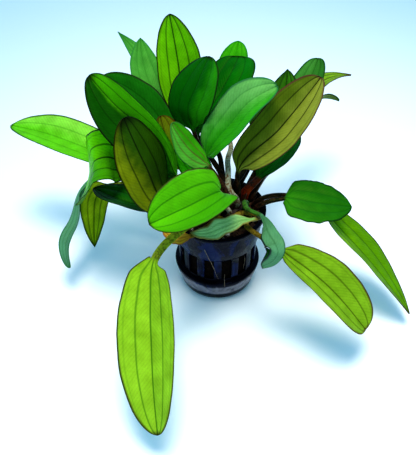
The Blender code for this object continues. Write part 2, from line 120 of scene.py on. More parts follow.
def node_tree(name: str, inputs: dict[str, str]) -> tuple[bpy.types.NodeTree, bpy.types.NodeOutputs]:
    """Start a Geometry Nodes tree.

    Args:
        name: Name of the tree.
        inputs: Kind of socket for each named input, such as Float or Material.

    Returns:
        The tree and the outputs of its group input node.
    """
    tree = bpy.data.node_groups.new(name, "GeometryNodeTree")
    tree.interface.new_socket(name="Geometry", in_out="OUTPUT", socket_type="NodeSocketGeometry")
    for label, kind in inputs.items():
        tree.interface.new_socket(name=label, in_out="INPUT", socket_type=f"NodeSocket{kind}")
    return tree, add_node(tree, "NodeGroupInput").outputs


def close_tree(tree: bpy.types.NodeTree, geometry: bpy.types.Node, material: bpy.types.NodeSocket) -> None:
    """End a tree in Realize Instances, smooth shading and Set Material.

    Args:
        tree: Tree to end.
        geometry: Node whose geometry is the result.
        material: Socket that gives the material.
    """
    real = add_node(tree, "GeometryNodeRealizeInstances", [geometry])
    smooth = add_node(tree, "GeometryNodeSetShadeSmooth", [real])
    dressed = add_node(tree, "GeometryNodeSetMaterial", {"Geometry": smooth, "Material": material})
    add_node(tree, "NodeGroupOutput", [dressed])


def grow(name: str, carrier: bpy.types.Object, tree: bpy.types.NodeTree, values: dict) -> bpy.types.Object:
    """Run a tree on a carrier and keep the result as a plain mesh object.

    Args:
        name: Name of the result.
        carrier: Object that the tree reads; it is removed afterwards.
        tree: Geometry Nodes tree.
        values: Value of each named input.

    Returns:
        Mesh object without modifiers.
    """
    modifier = carrier.modifiers.new(tree.name, "NODES")
    modifier.node_group = tree
    for item in tree.interface.items_tree:
        if item.in_out == "INPUT" and item.name in values:
            modifier[item.identifier] = values[item.name]
    bpy.context.scene.collection.objects.link(carrier)
    depsgraph = bpy.context.evaluated_depsgraph_get()
    evaluated = carrier.evaluated_get(depsgraph)
    mesh = bpy.data.meshes.new_from_object(evaluated, preserve_all_data_layers=True, depsgraph=depsgraph)
    mesh.name = name
    bpy.data.objects.remove(carrier)
    made = bpy.data.objects.new(name, mesh)
    bpy.context.scene.collection.objects.link(made)
    return made


def bridge(bm: bmesh.types.BMesh, rows: list[list[bmesh.types.BMVert]], closed: bool = True) -> None:
    """Put faces between neighbouring rows of vertices.

    Args:
        bm: Shape that gets the faces.
        rows: Rows of equal length.
        closed: Whether each row goes round and meets its own start.
    """
    for lower, upper in zip(rows, rows[1:]):
        for number in range(len(lower) if closed else len(lower) - 1):
            after = (number + 1) % len(lower)
            bm.faces.new((lower[number], lower[after], upper[after], upper[number]))


def mesh_object(name: str, bm: bmesh.types.BMesh, material: bpy.types.Material,
                link: bool = True) -> bpy.types.Object:
    """Object of a bmesh, shaded smooth.

    Args:
        name: Name of the object.
        bm: Shape, which is freed.
        material: Finish of the whole shape.
        link: Whether to show it in the scene.

    Returns:
        The new object.
    """
    mesh = bpy.data.meshes.new(name)
    bm.to_mesh(mesh)
    bm.free()
    mesh.shade_smooth()
    mesh.materials.append(material)
    made = bpy.data.objects.new(name, mesh)
    if link:
        bpy.context.scene.collection.objects.link(made)
    return made


def bezier_path(name: str, points: list, tangents: np.ndarray | None = None) -> bpy.types.Object:
    """Bezier curve object through points, not shown by itself.

    Args:
        name: Name of the object.
        points: Places in millimetres.
        tangents: Direction and speed at each point for a length of one, or None for automatic handles.

    Returns:
        Curve object that is not in the scene yet.
    """
    curve = bpy.data.curves.new(name, "CURVE")
    curve.dimensions = "3D"
    spline = curve.splines.new("BEZIER")
    spline.bezier_points.add(len(points) - 1)
    spline.resolution_u = 24
    spans = [math.dist(a, b) for a, b in zip(points, points[1:])]
    for number, (point, knot) in enumerate(zip(points, spline.bezier_points)):
        knot.co = Vector(point) * MM
        if tangents is None:
            knot.handle_left_type = knot.handle_right_type = "AUTO"
            continue
        knot.handle_left_type = knot.handle_right_type = "FREE"
        before, after = spans[max(number - 1, 0)], spans[min(number, len(spans) - 1)]
        knot.handle_left = (Vector(point) - Vector(tangents[number]) * before / 3) * MM
        knot.handle_right = (Vector(point) + Vector(tangents[number]) * after / 3) * MM
    return bpy.data.objects.new(name, curve)


def join_as(name: str, pieces: list[bpy.types.Object]) -> bpy.types.Object:
    """Join meshes into one piece.

    Args:
        name: Name of the piece.
        pieces: Objects to join, the first of which stays.

    Returns:
        The joined piece.
    """
    first = pieces[0]
    with bpy.context.temp_override(active_object=first, selected_editable_objects=pieces):
        bpy.ops.object.join()
    first.name = name
    return first


def settle(piece: bpy.types.Object, slot: str, *nodes: str) -> None:
    """Put a finished piece on the plant's one body and report it.

    Args:
        piece: Finished piece.
        slot: Slot of the record that it takes its finish from.
        nodes: CAD nodes that it stands for.
    """
    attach(piece, "root")
    if nodes:
        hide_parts(*nodes)
    triangles = sum(len(p.vertices) - 2 for p in piece.data.polygons)
    LOG.info("%-34s %7d triangles, %s", piece.name, triangles, slot)


def new_material(name: str) -> tuple[bpy.types.Material, bpy.types.NodeTree, bpy.types.Node]:
    """Start a material.

    Args:
        name: Name of the real material.

    Returns:
        The material, its tree and its Principled BSDF.
    """
    material = bpy.data.materials.new(name)
    material.use_nodes = True
    tree = material.node_tree
    return material, tree, tree.nodes["Principled BSDF"]


def surface(tree: bpy.types.NodeTree, shader: bpy.types.Node, colour: bpy.types.Node, gloss: bpy.types.Node,
            bump: bpy.types.Node, values: dict[str, float | tuple]) -> None:
    """Link a material's patterns to its shader and set what is the same all over.

    Args:
        tree: The material's tree.
        shader: Its Principled BSDF.
        colour: Mix of colours.
        gloss: Range of roughness.
        bump: Bump of the relief.
        values: Value of each named input of the shader.
    """
    tree.links.new(colour.outputs[2], shader.inputs["Base Color"])
    tree.links.new(gloss.outputs[0], shader.inputs["Roughness"])
    tree.links.new(bump.outputs[0], shader.inputs["Normal"])
    for name, value in values.items():
        shader.inputs[name].default_value = value


# ---- finishes

@dataclass(frozen=True)
class LeafFinish:
    """Colours and gloss of one kind of leaf, seen from above unless said otherwise."""

    upper: str
    # the second colour is the leaf's own blush on some kinds; on others it is painted light and shade, or a
    # painted sheen
    blush_and_light: str  # second colour, towards one side or end
    blush_and_light_way: tuple[float, float, float]  # how it grows to the right, to the tip, and where it starts
    under: str
    vein: str
    margin: str
    vein_strength: float = 0.8
    glow: float = 0.3  # share of the light that goes through the blade
    roughness: float = 0.36
    cross: float = 0.1  # strength of the slanting cross veins
    tip_start: float = 0.965  # where along the blade the margin's colour starts to cover the tip


class LeafKind(Enum):
    """Leaves of one age and light, as they differ over the plant: each kind's colours hold painted light and
    shade for where its leaves sit, brighter on lit leaves and darker on shaded ones.
    """

    HANGING = LeafFinish("#91BC21", "#A7D034", (0.0, 0.35, 0.05), "#A9CF66", "#3E7A12", "#3E3010", 0.85, 0.35)
    TOP = LeafFinish("#68B703", "#81C90A", (-0.3, -0.5, 0.4), "#86B84A", "#1E4A06", "#0E0A06", 0.95, 0.4)
    OVAL = LeafFinish("#64BF10", "#479D07", (-0.6, -0.7, 0.55), "#7CB860", "#1C6608", "#3A3410", 0.75, 0.25,
                      0.36, 0.04)
    FAR = LeafFinish("#73D120", "#A2E853", (0.8, -0.4, 0.2), "#9AD070", "#3F9A14", "#2E4A10", 0.5, 0.4)
    LOW = LeafFinish("#7EAB1B", "#95BA28", (0.0, 0.2, 0.2), "#A2BE5C", "#46580C", "#5A2E22", 0.85, 0.35)
    FAR_RIGHT = LeafFinish("#689D01", "#88B804", (0.3, -0.6, 0.3), "#8DB04E", "#2F5C06", "#4A3418", 0.7, 0.35)
    BENT = LeafFinish("#499C02", "#79DD01", (0.7, 0.3, 0.1), "#7CAF52", "#123C05", "#14200A", 0.95, 0.3)
    # the dark left half and the bright right half are partly the leaf's own tone and partly painted shade and
    # painted light across the fold
    FOLDED = LeafFinish("#155607", "#68CA0D", (2.2, 0.0, 0.3), "#5C9A48", "#0C3A05", "#0E0C06", 0.8, 0.2,
                        tip_start=0.93)
    SHADOW = LeafFinish("#145308", "#1A6C0F", (0.5, 0.4, 0.0), "#4E8A44", "#063A05", "#1A1208", 0.5, 0.15)
    DARK = LeafFinish("#075A02", "#28840A", (1.4, -0.8, 0.2), "#4A8648", "#033A05", "#0E0A06", 0.4, 0.12,
                      tip_start=0.93)
    LEAFY = LeafFinish("#025900", "#046A01", (0.8, 0.0, 0.2), "#56924C", "#044004", "#123008", 0.6, 0.15)
    BRONZE = LeafFinish("#2F5206", "#8A920F", (-0.7, -0.8, 0.4), "#5E7030", "#0C1204", "#0A0603", 0.9, 0.15,
                        tip_start=0.86)
    OLIVE = LeafFinish("#5E7014", "#8E9636", (0.6, 0.3, 0.1), "#7C8446", "#1A2006", "#5C2E2C", 0.95, 0.2,
                       0.34)
    # the paler grey-green blush towards the left and the tip is a painted sheen
    PALE = LeafFinish("#37A117", "#75B75D", (-0.6, 1.1, -0.5), "#6CAA74", "#1E7A26", "#2C7040", 0.35, 0.2,
                      0.3)
    BACK = LeafFinish("#53A23A", "#6AB04B", (0.0, -0.6, 0.4), "#82BC78", "#2C8426", "#3E8A3A", 0.4, 0.25)
    TIP = LeafFinish("#36A504", "#50B812", (0.0, 0.4, 0.0), "#7CBE56", "#1E8806", "#2C8A10", 0.4, 0.35)
    BACK_ROUND = LeafFinish("#468A34", "#367923", (0.8, 0.0, 0.2), "#6CA060", "#1E5C14", "#1E4A14", 0.5, 0.25)
    ROUND = LeafFinish("#1D6706", "#317D0E", (0.3, -0.9, 0.5), "#5E9A50", "#0E5A0C", "#0C2E0A", 0.5, 0.2)
    HANGING_OLIVE = LeafFinish("#9ABC14", "#CCD824", (0.0, -0.8, 0.5), "#6E8636", "#2A4A04", "#243A08", 0.7,
                               0.25)
    DEEP_OLIVE = LeafFinish("#295B03", "#3A7B07", (0.4, 0.0, 0.2), "#5E7E36", "#16300A", "#1A2008", 0.8, 0.2)
    GREY = LeafFinish("#68B04A", "#5A9069", (0.0, 2.4, -0.2), "#5E9E72", "#2A7438", "#2C6A38", 0.4, 0.2)
    CURL = LeafFinish("#0A4A08", "#14600E", (0.4, 0.0, 0.2), "#588E60", "#0A4A10", "#20242A", 0.4, 0.12, 0.28)
    RIM = LeafFinish("#95C271", "#A4CC84", (0.0, 1.2, -0.1), "#7EB886", "#3E8A44", "#8A7A3C", 0.35, 0.2)
    # its colours are far brighter than the dry leaf's own tone: painted light on a leaf that lies in shade
    DRY = LeafFinish("#FFD24C", "#F0B83C", (0.0, -0.8, 0.5), "#8C7E3A", "#C88A34", "#C07430", 0.7, 0.3, 0.5)
    SMALL = LeafFinish("#43A211", "#5EB138", (-1.2, 0.2, 0.1), "#7CAE80", "#6A5A30", "#3C7A30", 0.8, 0.25)
    MILD = LeafFinish("#55E206", "#30B406", (0.8, 0.4, 0.1), "#5C9248", "#0E4A06", "#123A08", 0.6, 0.2)
    YOUNG = LeafFinish("#6B9C0B", "#7E8913", (0.3, 0.9, -0.3), "#86904A", "#5A4A10", "#5A2412", 0.8, 0.3)


@dataclass(frozen=True)
class StalkFinish:
    """Colours of a petiole: its skin and the streaks and spots on it."""

    skin: str
    streak: str


class StalkTone(Enum):
    """Petioles from the oldest, near black, to the youngest, pale green."""

    BLACK = StalkFinish("#120B08", "#3A2416")
    BROWN = StalkFinish("#4A2A18", "#1E100A")
    RED = StalkFinish("#6E2208", "#2E0E06")
    WHITISH = StalkFinish("#B4B496", "#7C5A34")
    TAN = StalkFinish("#7C6A20", "#4C3A12")
    OLIVE = StalkFinish("#A8B42C", "#6E6E20")
    GREEN = StalkFinish("#3E6E22", "#28401A")


VEINS = ((0.0, 1.0), (0.46, 0.75), (0.82, 0.25))  # place as a share of the half width, strength


class LeafSkin:
    """Living leaf: waxy cuticle over green tissue, sunken parallel veins, a dark margin and its own petiole.

    The pattern follows the leaf's attributes leaf_grid (across -1 to 1, along 0 to 1 and below 0 on the
    petiole, 1 on the underside) and leaf_size (half width and distance from the collar, in millimetres).
    Sizes here are millimetres too.
    """

    PATCH = 7.0  # uneven patches of the tissue
    SPECK = 0.8  # its fine specks, coarser than real so that they show
    VEIN_WIDTH = (0.95, 0.5)  # at the collar and at the tip, wider than real so that they show
    VEIN_CORE = 0.1
    CROSS_PITCH = 2.2  # from one slanting cross vein to the next
    CROSS_SLANT = 1.2  # how far a cross vein runs along the blade for each millimetre outwards
    MARGIN_WIDTH = (1.1, 2.1)  # on the lower half of the blade and at its tip
    MARGIN_CORE = 0.3
    STALK_STREAK = 2.5  # streaks and spots of the petiole
    COLLAR_FADE = (0.05, -0.03)  # where the blade's colour ends and the petiole's is full
    MOTTLE = (0.82, 1.06)  # brightness of the darkest and the brightest patches
    VEIN_DEPTH = 0.25
    GLEAM = "#A8E070"  # the cuticle's gloss, green because the light runs through it
    THROUGH = "#F2FF8C"  # light that comes through the blade turns yellower

    def __init__(self, name: str, finish: LeafFinish, stalk: StalkFinish) -> None:
        """Make the material.

        Args:
            name: Name of the material.
            finish: Colours and gloss of the blade.
            stalk: Colours of the petiole.
        """
        self.material, tree, shader = new_material(name)
        self.finish, self.stalk = finish, stalk
        self.add = add = partial(add_node, tree)
        grid = add("ShaderNodeAttribute", attribute_name="leaf_grid").outputs["Vector"]
        self.across, self.along, self.under = add("ShaderNodeSeparateXYZ", [grid]).outputs
        size = add("ShaderNodeAttribute", attribute_name="leaf_size").outputs["Vector"]
        self.half, self.run = add("ShaderNodeSeparateXYZ", [size]).outputs[:2]
        self.side = add("ABSOLUTE", [self.across])
        self.place = add("ShaderNodeTexCoord").outputs["Object"]
        self.patches = add(NOISE, {"Vector": self.place, "Scale": PER_MM / self.PATCH, "Detail": 3.0})
        self.specks = add(NOISE, {"Vector": self.place, "Scale": PER_MM / self.SPECK, "Detail": 2.0})
        self.veins, self.cross = self.parallel_veins(), self.cross_veins()
        colour, bump = self.with_petiole(self.with_margin(self.tissue())), self.relief()
        gloss = add(RANGE, {"Value": self.patches, "From Min": 0.3, "From Max": 0.7,
                            "To Min": finish.roughness - 0.06, "To Max": finish.roughness + 0.1})
        surface(tree, shader, colour, gloss, bump, {
            "IOR": 1.45, "Specular IOR Level": 0.15, "Specular Tint": linear(self.GLEAM)})
        through = add(MIX, {"Factor": 1.0, "A": colour, "B": linear(self.THROUGH)}, data_type="RGBA",
                      blend_type="MULTIPLY")
        thin = add("ShaderNodeBsdfTranslucent", {"Color": through, "Normal": bump})
        both = add("ShaderNodeMixShader", [finish.glow, shader, thin])
        tree.links.new(both.outputs[0], tree.nodes["Material Output"].inputs["Surface"])

    def parallel_veins(self) -> bpy.types.Node:
        """Draw the five parallel veins, thickest at the collar.

        Returns:
            Their strength.
        """
        add = self.add
        width = add(RANGE, {"Value": self.along, "To Min": self.VEIN_WIDTH[0], "To Max": self.VEIN_WIDTH[1]})
        veins = 0.0
        for share, strength in VEINS:
            gap = add("SUBTRACT", [self.side, share])
            gap = add("ABSOLUTE", [gap])
            gap = add("MULTIPLY", [gap, self.half])
            line = add(RANGE, {"Value": gap, "From Min": width, "From Max": self.VEIN_CORE,
                               "To Max": strength}, **SMOOTH)
            veins = add("MAXIMUM", [veins, line])
        return veins

    def cross_veins(self) -> bpy.types.Node:
        """Draw the slanting cross veins.

        Returns:
            Their strength.
        """
        add = self.add
        outward = add("MULTIPLY", [self.side, self.half])
        slant = add("MULTIPLY_ADD", [outward, -self.CROSS_SLANT, self.run])
        wobble = add("MULTIPLY_ADD", [self.patches, 1.6, slant])
        phase = add("MULTIPLY", [wobble, math.tau / self.CROSS_PITCH])
        crest = add("SINE", [phase])
        return add(RANGE, {"Value": crest, "From Min": 0.35, "From Max": 1.0}, **SMOOTH)

    def tissue(self) -> bpy.types.Node:
        """Colour the blade within its margin: blushed, mottled and veined.

        Returns:
            The colour.
        """
        add = self.add
        finish = self.finish
        right, tipward, start = finish.blush_and_light_way
        reach = add("MULTIPLY_ADD", [self.across, right, start])
        reach = add("MULTIPLY_ADD", [self.along, tipward, reach])
        reach = add("MULTIPLY_ADD", [self.patches, 0.5, reach])
        blush_and_light = add(RANGE, {"Value": reach, "From Min": 0.1, "From Max": 0.9}, **SMOOTH)
        colour = add(MIX, {"Factor": blush_and_light, "A": linear(finish.upper), "B": linear(finish.blush_and_light)},
                     data_type="RGBA")
        colour = add(MIX, {"Factor": self.under, "A": colour, "B": linear(finish.under)}, data_type="RGBA")
        depth = add(RANGE, {"Value": self.patches, "From Min": 0.3, "From Max": 0.7,
                            "To Min": self.MOTTLE[0], "To Max": self.MOTTLE[1]})
        depth = add("MULTIPLY_ADD", [self.specks, 0.22, depth])
        depth = add("MULTIPLY_ADD", [self.cross, -finish.cross, depth])
        colour = add(MIX, {"Factor": 1.0, "A": colour, "B": depth}, data_type="RGBA", blend_type="MULTIPLY")
        weight = add("MULTIPLY", [self.veins, finish.vein_strength])
        return add(MIX, {"Factor": weight, "A": colour, "B": linear(finish.vein)}, data_type="RGBA")

    def with_margin(self, blade: bpy.types.Node) -> bpy.types.Node:
        """Lay the margin on the blade: it widens towards the tip and covers the very tip.

        Args:
            blade: Colour of the blade.

        Returns:
            The colour with the margin.
        """
        add = self.add
        edge = add("SUBTRACT", [1.0, self.side])
        edge = add("MULTIPLY", [edge, self.half])
        width = add(RANGE, {"Value": self.along, "From Min": 0.45,
                            "To Min": self.MARGIN_WIDTH[0], "To Max": self.MARGIN_WIDTH[1]})
        rim = add(RANGE, {"Value": edge, "From Min": width, "From Max": self.MARGIN_CORE,
                          "To Max": 0.92}, **SMOOTH)
        point = add(RANGE, {"Value": self.along, "From Min": self.finish.tip_start, "To Max": 0.9}, **SMOOTH)
        rim = add("MAXIMUM", [rim, point])
        return add(MIX, {"Factor": rim, "A": blade, "B": linear(self.finish.margin)}, data_type="RGBA")

    def with_petiole(self, blade: bpy.types.Node) -> bpy.types.Node:
        """Add the streaked petiole below the collar.

        Args:
            blade: Colour of the blade.

        Returns:
            The colour of the whole leaf.
        """
        add = self.add
        streaks = add(NOISE, {"Vector": self.place, "Scale": PER_MM / self.STALK_STREAK, "Detail": 4.0,
                              "Distortion": 1.5})
        streaks = add(RANGE, {"Value": streaks, "From Min": 0.42, "From Max": 0.66}, **SMOOTH)
        stalk = self.stalk
        skin = add(MIX, {"Factor": streaks, "A": linear(stalk.skin), "B": linear(stalk.streak)},
                   data_type="RGBA")
        below = add(RANGE, {"Value": self.along, "From Min": self.COLLAR_FADE[0],
                            "From Max": self.COLLAR_FADE[1]}, **SMOOTH)
        return add(MIX, {"Factor": below, "A": blade, "B": skin}, data_type="RGBA")

    def relief(self) -> bpy.types.Node:
        """Sink the veins and cross veins and grain the cuticle.

        Returns:
            The bump.
        """
        add = self.add
        height = add("MULTIPLY_ADD", [self.veins, -1.0, 0.0])
        height = add("MULTIPLY_ADD", [self.cross, -0.35, height])
        height = add("MULTIPLY_ADD", [self.specks, 0.5, height])
        return add("ShaderNodeBump", {"Strength": 0.55, "Distance": self.VEIN_DEPTH * MM, "Height": height})


def leaf_material(kind: LeafKind, tone: StalkTone) -> bpy.types.Material:
    """Find or make the material of a leaf, which all leaves of the same kind and petiole share.

    Args:
        kind: Kind of leaf.
        tone: Colour of its petiole.

    Returns:
        The material.
    """
    name = f"sword_leaf_{kind.name.lower()}_{tone.name.lower()}_petiole"
    if name in bpy.data.materials:
        return bpy.data.materials[name]
    return LeafSkin(name, kind.value, tone.value).material


@dataclass(frozen=True)
class PotPlastic:
    """Injection-moulded polypropylene, near black: a cold sheen partly in its gloss and partly painted in its
    colour, broken by black streaks, with painted shade on the foot and the ledge and pale grey patches.

    Sizes and heights are millimetres. A fade is the height where it starts and the one where it is full.
    """

    # painted cold sheen: a reflection laid into the colour of the black plastic
    body: str = "#131F44"
    deep: str = "#010103"  # the plastic's own black: streaks, rim, and painted shade on the foot and the ledge
    scale: str = "#8E8890"  # pale grey of the patches, which are less shiny
    gleam: str = "#8CA8F4"  # cold sheen of the smooth skin
    roughness: float = 0.2
    mark_size: float = 6.0
    sheen_streak_size: float = 9.0
    scratch_width: float = 0.7  # wider than real, so that they show
    scratch_depth: float = 0.3
    pale_fade: tuple[float, float] = (15.5, 12.5)  # the patches thicken on the cup
    foot_shade_fade: tuple[float, float] = (7.0, 5.4)  # the foot is black with painted shade, and free of the pale patches
    rim_fade: tuple[float, float] = (48.5, 50.2)  # the rim is black
    ledge: float = 17.0  # and so is the ledge, black with painted shade, for this much each side
    ledge_shade_reach: tuple[float, float] = (2.6, 1.6)

    def material(self) -> bpy.types.Material:
        """Make the material.

        Returns:
            Material with a painted sheen broken by dark streaks, painted shade on the foot and the ledge,
            pale grey patches and fine scratches.
        """
        material, tree, shader = new_material("black_polypropylene_moulded")
        add = partial(add_node, tree)
        place = add("ShaderNodeTexCoord").outputs["Object"]
        height = add("ShaderNodeSeparateXYZ", [place]).outputs["Z"]

        # painted sheen, left off in black streaks down the wall, and black bands: painted shade on the foot
        # and the ledge, and the black rim
        tall = add("ShaderNodeMapping", {"Vector": place, "Scale": (1.0, 1.0, 0.55)})
        streaks = add(NOISE, {"Vector": tall, "Scale": PER_MM / self.sheen_streak_size, "Detail": 3.0,
                              "Distortion": 0.8})
        black = add(RANGE, {"Value": streaks, "From Min": 0.37, "From Max": 0.53, "To Max": 0.92}, **SMOOTH)
        ledge = add("SUBTRACT", [height, self.ledge * MM])
        ledge = add("ABSOLUTE", [ledge])
        start, full = self.ledge_shade_reach
        ledge = add(RANGE, {"Value": ledge, "From Min": start * MM, "From Max": full * MM})
        bands = [add(RANGE, {"Value": height, "From Min": start * MM, "From Max": full * MM})
                 for start, full in (self.foot_shade_fade, self.rim_fade)]
        for band in (*bands, ledge):
            black = add("MAXIMUM", [black, band])
        skin = add(MIX, {"Factor": black, "A": linear(self.body), "B": linear(self.deep)}, data_type="RGBA")

        # pale grey in patches, thickest on the cup, none on the foot and the ledge
        marks = add(NOISE, {"Vector": place, "Scale": PER_MM / self.mark_size, "Detail": 5.0,
                            "Distortion": 0.6})
        start, full = self.pale_fade
        low = add(RANGE, {"Value": height, "From Min": start * MM, "From Max": full * MM, "To Max": 0.46})
        pale_patches = add("ADD", [marks, low])
        pale_patches = add(RANGE, {"Value": pale_patches, "From Min": 0.62, "From Max": 1.02, "To Max": 0.66}, **SMOOTH)
        for bare in (bands[0], ledge):
            pale_patches = add("MULTIPLY", [pale_patches, add("SUBTRACT", [1.0, bare])])
        colour = add(MIX, {"Factor": pale_patches, "A": skin, "B": linear(self.scale)}, data_type="RGBA")

        # fine upright scratches under the marks
        stretched = add("ShaderNodeMapping", {"Vector": place, "Scale": (1.0, 1.0, 0.12)})
        scratches = add(NOISE, {"Vector": stretched, "Scale": PER_MM / self.scratch_width, "Detail": 4.0})
        grain = add("MULTIPLY_ADD", [marks, 2.0, scratches])
        bump = add("ShaderNodeBump", {"Strength": 0.4, "Distance": self.scratch_depth * MM, "Height": grain})
        gloss = add(RANGE, {"Value": marks, "From Min": 0.35, "From Max": 0.75,
                            "To Min": self.roughness - 0.06, "To Max": self.roughness + 0.2})
        surface(tree, shader, colour, gloss, bump, {
            "IOR": 1.5, "Specular IOR Level": 0.09, "Specular Tint": linear(self.gleam)})
        return material


@dataclass(frozen=True)
class EarthyFinish:
    """Dull natural material of two colours, with grain of a real size."""

    name: str
    light: str
    dark: str
    grain: float  # millimetres
    roughness: float = 0.85
    relief: float = 0.4  # depth of the grain, millimetres
    shine: float = 0.3  # specular level, least where the thing is porous

    def material(self) -> bpy.types.Material:
        """Make the material.

        Returns:
            Material mottled at its grain and in patches six grains wide.
        """
        material, tree, shader = new_material(self.name)
        add = partial(add_node, tree)
        place = add("ShaderNodeTexCoord").outputs["Object"]
        grain = add(NOISE, {"Vector": place, "Scale": PER_MM / self.grain, "Detail": 6.0})
        patches = add(NOISE, {"Vector": place, "Scale": PER_MM / (6 * self.grain), "Detail": 3.0})
        both = add("MULTIPLY", [patches, 0.4])
        both = add("MULTIPLY_ADD", [grain, 0.6, both])
        share = add(RANGE, {"Value": both, "From Min": 0.38, "From Max": 0.62}, **SMOOTH)
        colour = add(MIX, {"Factor": share, "A": linear(self.dark), "B": linear(self.light)},
                     data_type="RGBA")
        bump = add("ShaderNodeBump", {"Strength": 0.7, "Distance": self.relief * MM, "Height": grain})
        dull = add(RANGE, {"Value": patches, "From Min": 0.3, "From Max": 0.7,
                           "To Min": self.roughness - 0.15, "To Max": self.roughness})
        surface(tree, shader, colour, dull, bump, {"Specular IOR Level": self.shine})
        return material


# ---- pot

@dataclass
class NetPot:
    """Moulded net pot: one sector with half a bar each side of a slot, turned about the axis."""

    wall: float = 1.3
    slot_count: int = 14
    slot_width: float = 5.6
    slot_low: float = 18.5
    slot_high: float = 32.5
    bar_radius: float = 21.9
    drain_count: int = 6
    drain_radius: float = 1.8
    drain_ring: float = 12.0  # from the axis to a hole's centre
    slot_columns: int = 8  # faces across a slot
    rounding: float = 0.22  # of all edges, as the mould leaves them
    rounded_from: float = 38.0  # degrees between the faces of an edge
    sharp_from: float = 50.0  # the same, for its shading
    # outer side of the wall as (radius, height), from the flange down to the axis of the floor
    outline: tuple = ((26.2, 50.7), (25.1, 50.7), (24.7, 48.0), (23.7, 41.0), (22.8, 34.2), (22.35, 33.4),
                      (21.9, 32.5), (21.8, 29.0), (21.75, 25.0), (21.7, 21.5), (21.65, 18.5), (21.6, 16.6),
                      (23.3, 16.5), (23.8, 16.2), (23.9, 15.5), (23.2, 12.3), (22.2, 8.2), (21.2, 4.6),
                      (20.9, 3.2), (20.2, 1.6), (19.2, 0.6), (17.8, 0.1), (16.0, 0.02), (8.0, 0.02),
                      (1.5, 0.02))

    def sector(self, material: bpy.types.Material) -> bpy.types.Object:
        """Outer skin of one sector, a bar's half on each side of its slot.

        Args:
            material: Finish of the pot.

        Returns:
            Open mesh, not shown by itself.
        """
        pitch = math.tau / self.slot_count
        slot = 2 * math.asin(0.5 * self.slot_width / self.bar_radius)
        bar = 0.5 * (pitch - slot)
        inner = self.slot_columns
        turns = [-0.5 * pitch, -0.5 * pitch + 0.5 * bar]
        turns += [-0.5 * slot + slot * step / inner for step in range(inner + 1)]
        turns += [0.5 * pitch - 0.5 * bar, 0.5 * pitch]
        bm = bmesh.new()
        rows = []
        for radius, height in self.outline:
            places = [metres(radius * math.cos(t), radius * math.sin(t), height) for t in turns]
            rows.append([bm.verts.new(place) for place in places])
        for (upper, high), (lower, low) in zip(zip(rows, self.outline), zip(rows[1:], self.outline[1:])):
            opened = high[1] <= self.slot_high and low[1] >= self.slot_low
            for number in range(len(turns) - 1):
                if opened and 2 <= number < 2 + inner:
                    continue
                bm.faces.new((upper[number], lower[number], lower[number + 1], upper[number + 1]))
        return mesh_object("net_pot_sector", bm, material, link=False)

    def ring_tree(self) -> bpy.types.NodeTree:
        """Tree that turns a sector about the axis and welds the copies.

        Returns:
            Tree with the inputs Sector, Count and Material.
        """
        tree, feed = node_tree("net_pot_ring", {"Sector": "Geometry", "Count": "Int", "Material": "Material"})
        add = partial(add_node, tree)
        points = add("GeometryNodePoints", {"Count": feed["Count"]})
        turn = add("DIVIDE", [math.tau, feed["Count"]])
        angle = add("MULTIPLY", [add("GeometryNodeInputIndex"), turn])
        rotation = add("ShaderNodeCombineXYZ", {"Z": angle})
        copies = add("GeometryNodeInstanceOnPoints", {
            "Points": points, "Instance": feed["Sector"], "Rotation": rotation})
        real = add("GeometryNodeRealizeInstances", [copies])
        welded = add("GeometryNodeMergeByDistance", {"Geometry": real, "Distance": 0.02 * MM})
        close_tree(tree, welded, feed["Material"])
        return tree

    def close_axis(self, pot: bpy.types.Object) -> None:
        """Close the skin at the axis and turn its faces outwards.

        Args:
            pot: Welded skin of the pot.
        """
        bm = bmesh.new()
        bm.from_mesh(pot.data)
        innermost = 1.3 * self.outline[-1][0] * MM
        hole = [e for e in bm.edges if e.is_boundary and max(v.co.xy.length for v in e.verts) < innermost]
        bmesh.ops.contextual_create(bm, geom=hole)
        bmesh.ops.recalc_face_normals(bm, faces=bm.faces)
        lowest = min(bm.faces, key=lambda face: face.calc_center_median().z)
        if lowest.normal.z > 0:
            bmesh.ops.reverse_faces(bm, faces=bm.faces)
        bm.to_mesh(pot.data)
        bm.free()

    def drills(self) -> bpy.types.Object:
        """Round cutters of the drain holes.

        Returns:
            One object of all of them, hidden.
        """
        bm = bmesh.new()
        for number in range(self.drain_count):
            turn = math.tau * number / self.drain_count
            made = bmesh.ops.create_cone(bm, cap_ends=True, segments=20, radius1=self.drain_radius * MM,
                                         radius2=self.drain_radius * MM, depth=8 * MM)
            shift = Vector((self.drain_ring * math.cos(turn), self.drain_ring * math.sin(turn), 0.0)) * MM
            bmesh.ops.translate(bm, verts=made["verts"], vec=shift)
        mesh = bpy.data.meshes.new("drain_cutters")
        bm.to_mesh(mesh)
        bm.free()
        made = bpy.data.objects.new("drain_cutters", mesh)
        bpy.context.scene.collection.objects.link(made)
        made.hide_render = True
        return made

    def build(self) -> bpy.types.Object:
        """Build the pot and put it on its body.

        Returns:
            The pot, standing for the CAD pot.
        """
        material = PotPlastic().material()
        pot = grow("net_pot_moulded", self.sector(material), self.ring_tree(),
                   {"Count": self.slot_count, "Material": material})
        self.close_axis(pot)
        shell = pot.modifiers.new("wall", "SOLIDIFY")
        shell.thickness = self.wall * MM
        shell.offset = -1.0
        shell.use_even_offset = True
        drills = self.drills()
        pot.modifiers.new("drains", "BOOLEAN").object = drills
        round_off = pot.modifiers.new("moulded_edges", "BEVEL")
        round_off.width = self.rounding * MM
        round_off.segments = 2
        round_off.limit_method = "ANGLE"
        round_off.angle_limit = math.radians(self.rounded_from)
        depsgraph = bpy.context.evaluated_depsgraph_get()
        mesh = bpy.data.meshes.new_from_object(pot.evaluated_get(depsgraph), depsgraph=depsgraph)
        pot.modifiers.clear()
        pot.data = mesh
        bpy.data.objects.remove(drills)
        mesh.shade_smooth()
        mesh.set_sharp_from_angle(angle=math.radians(self.sharp_from))
        settle(pot, "pot_plastic", "net_pot")
        return pot


# ---- growing medium

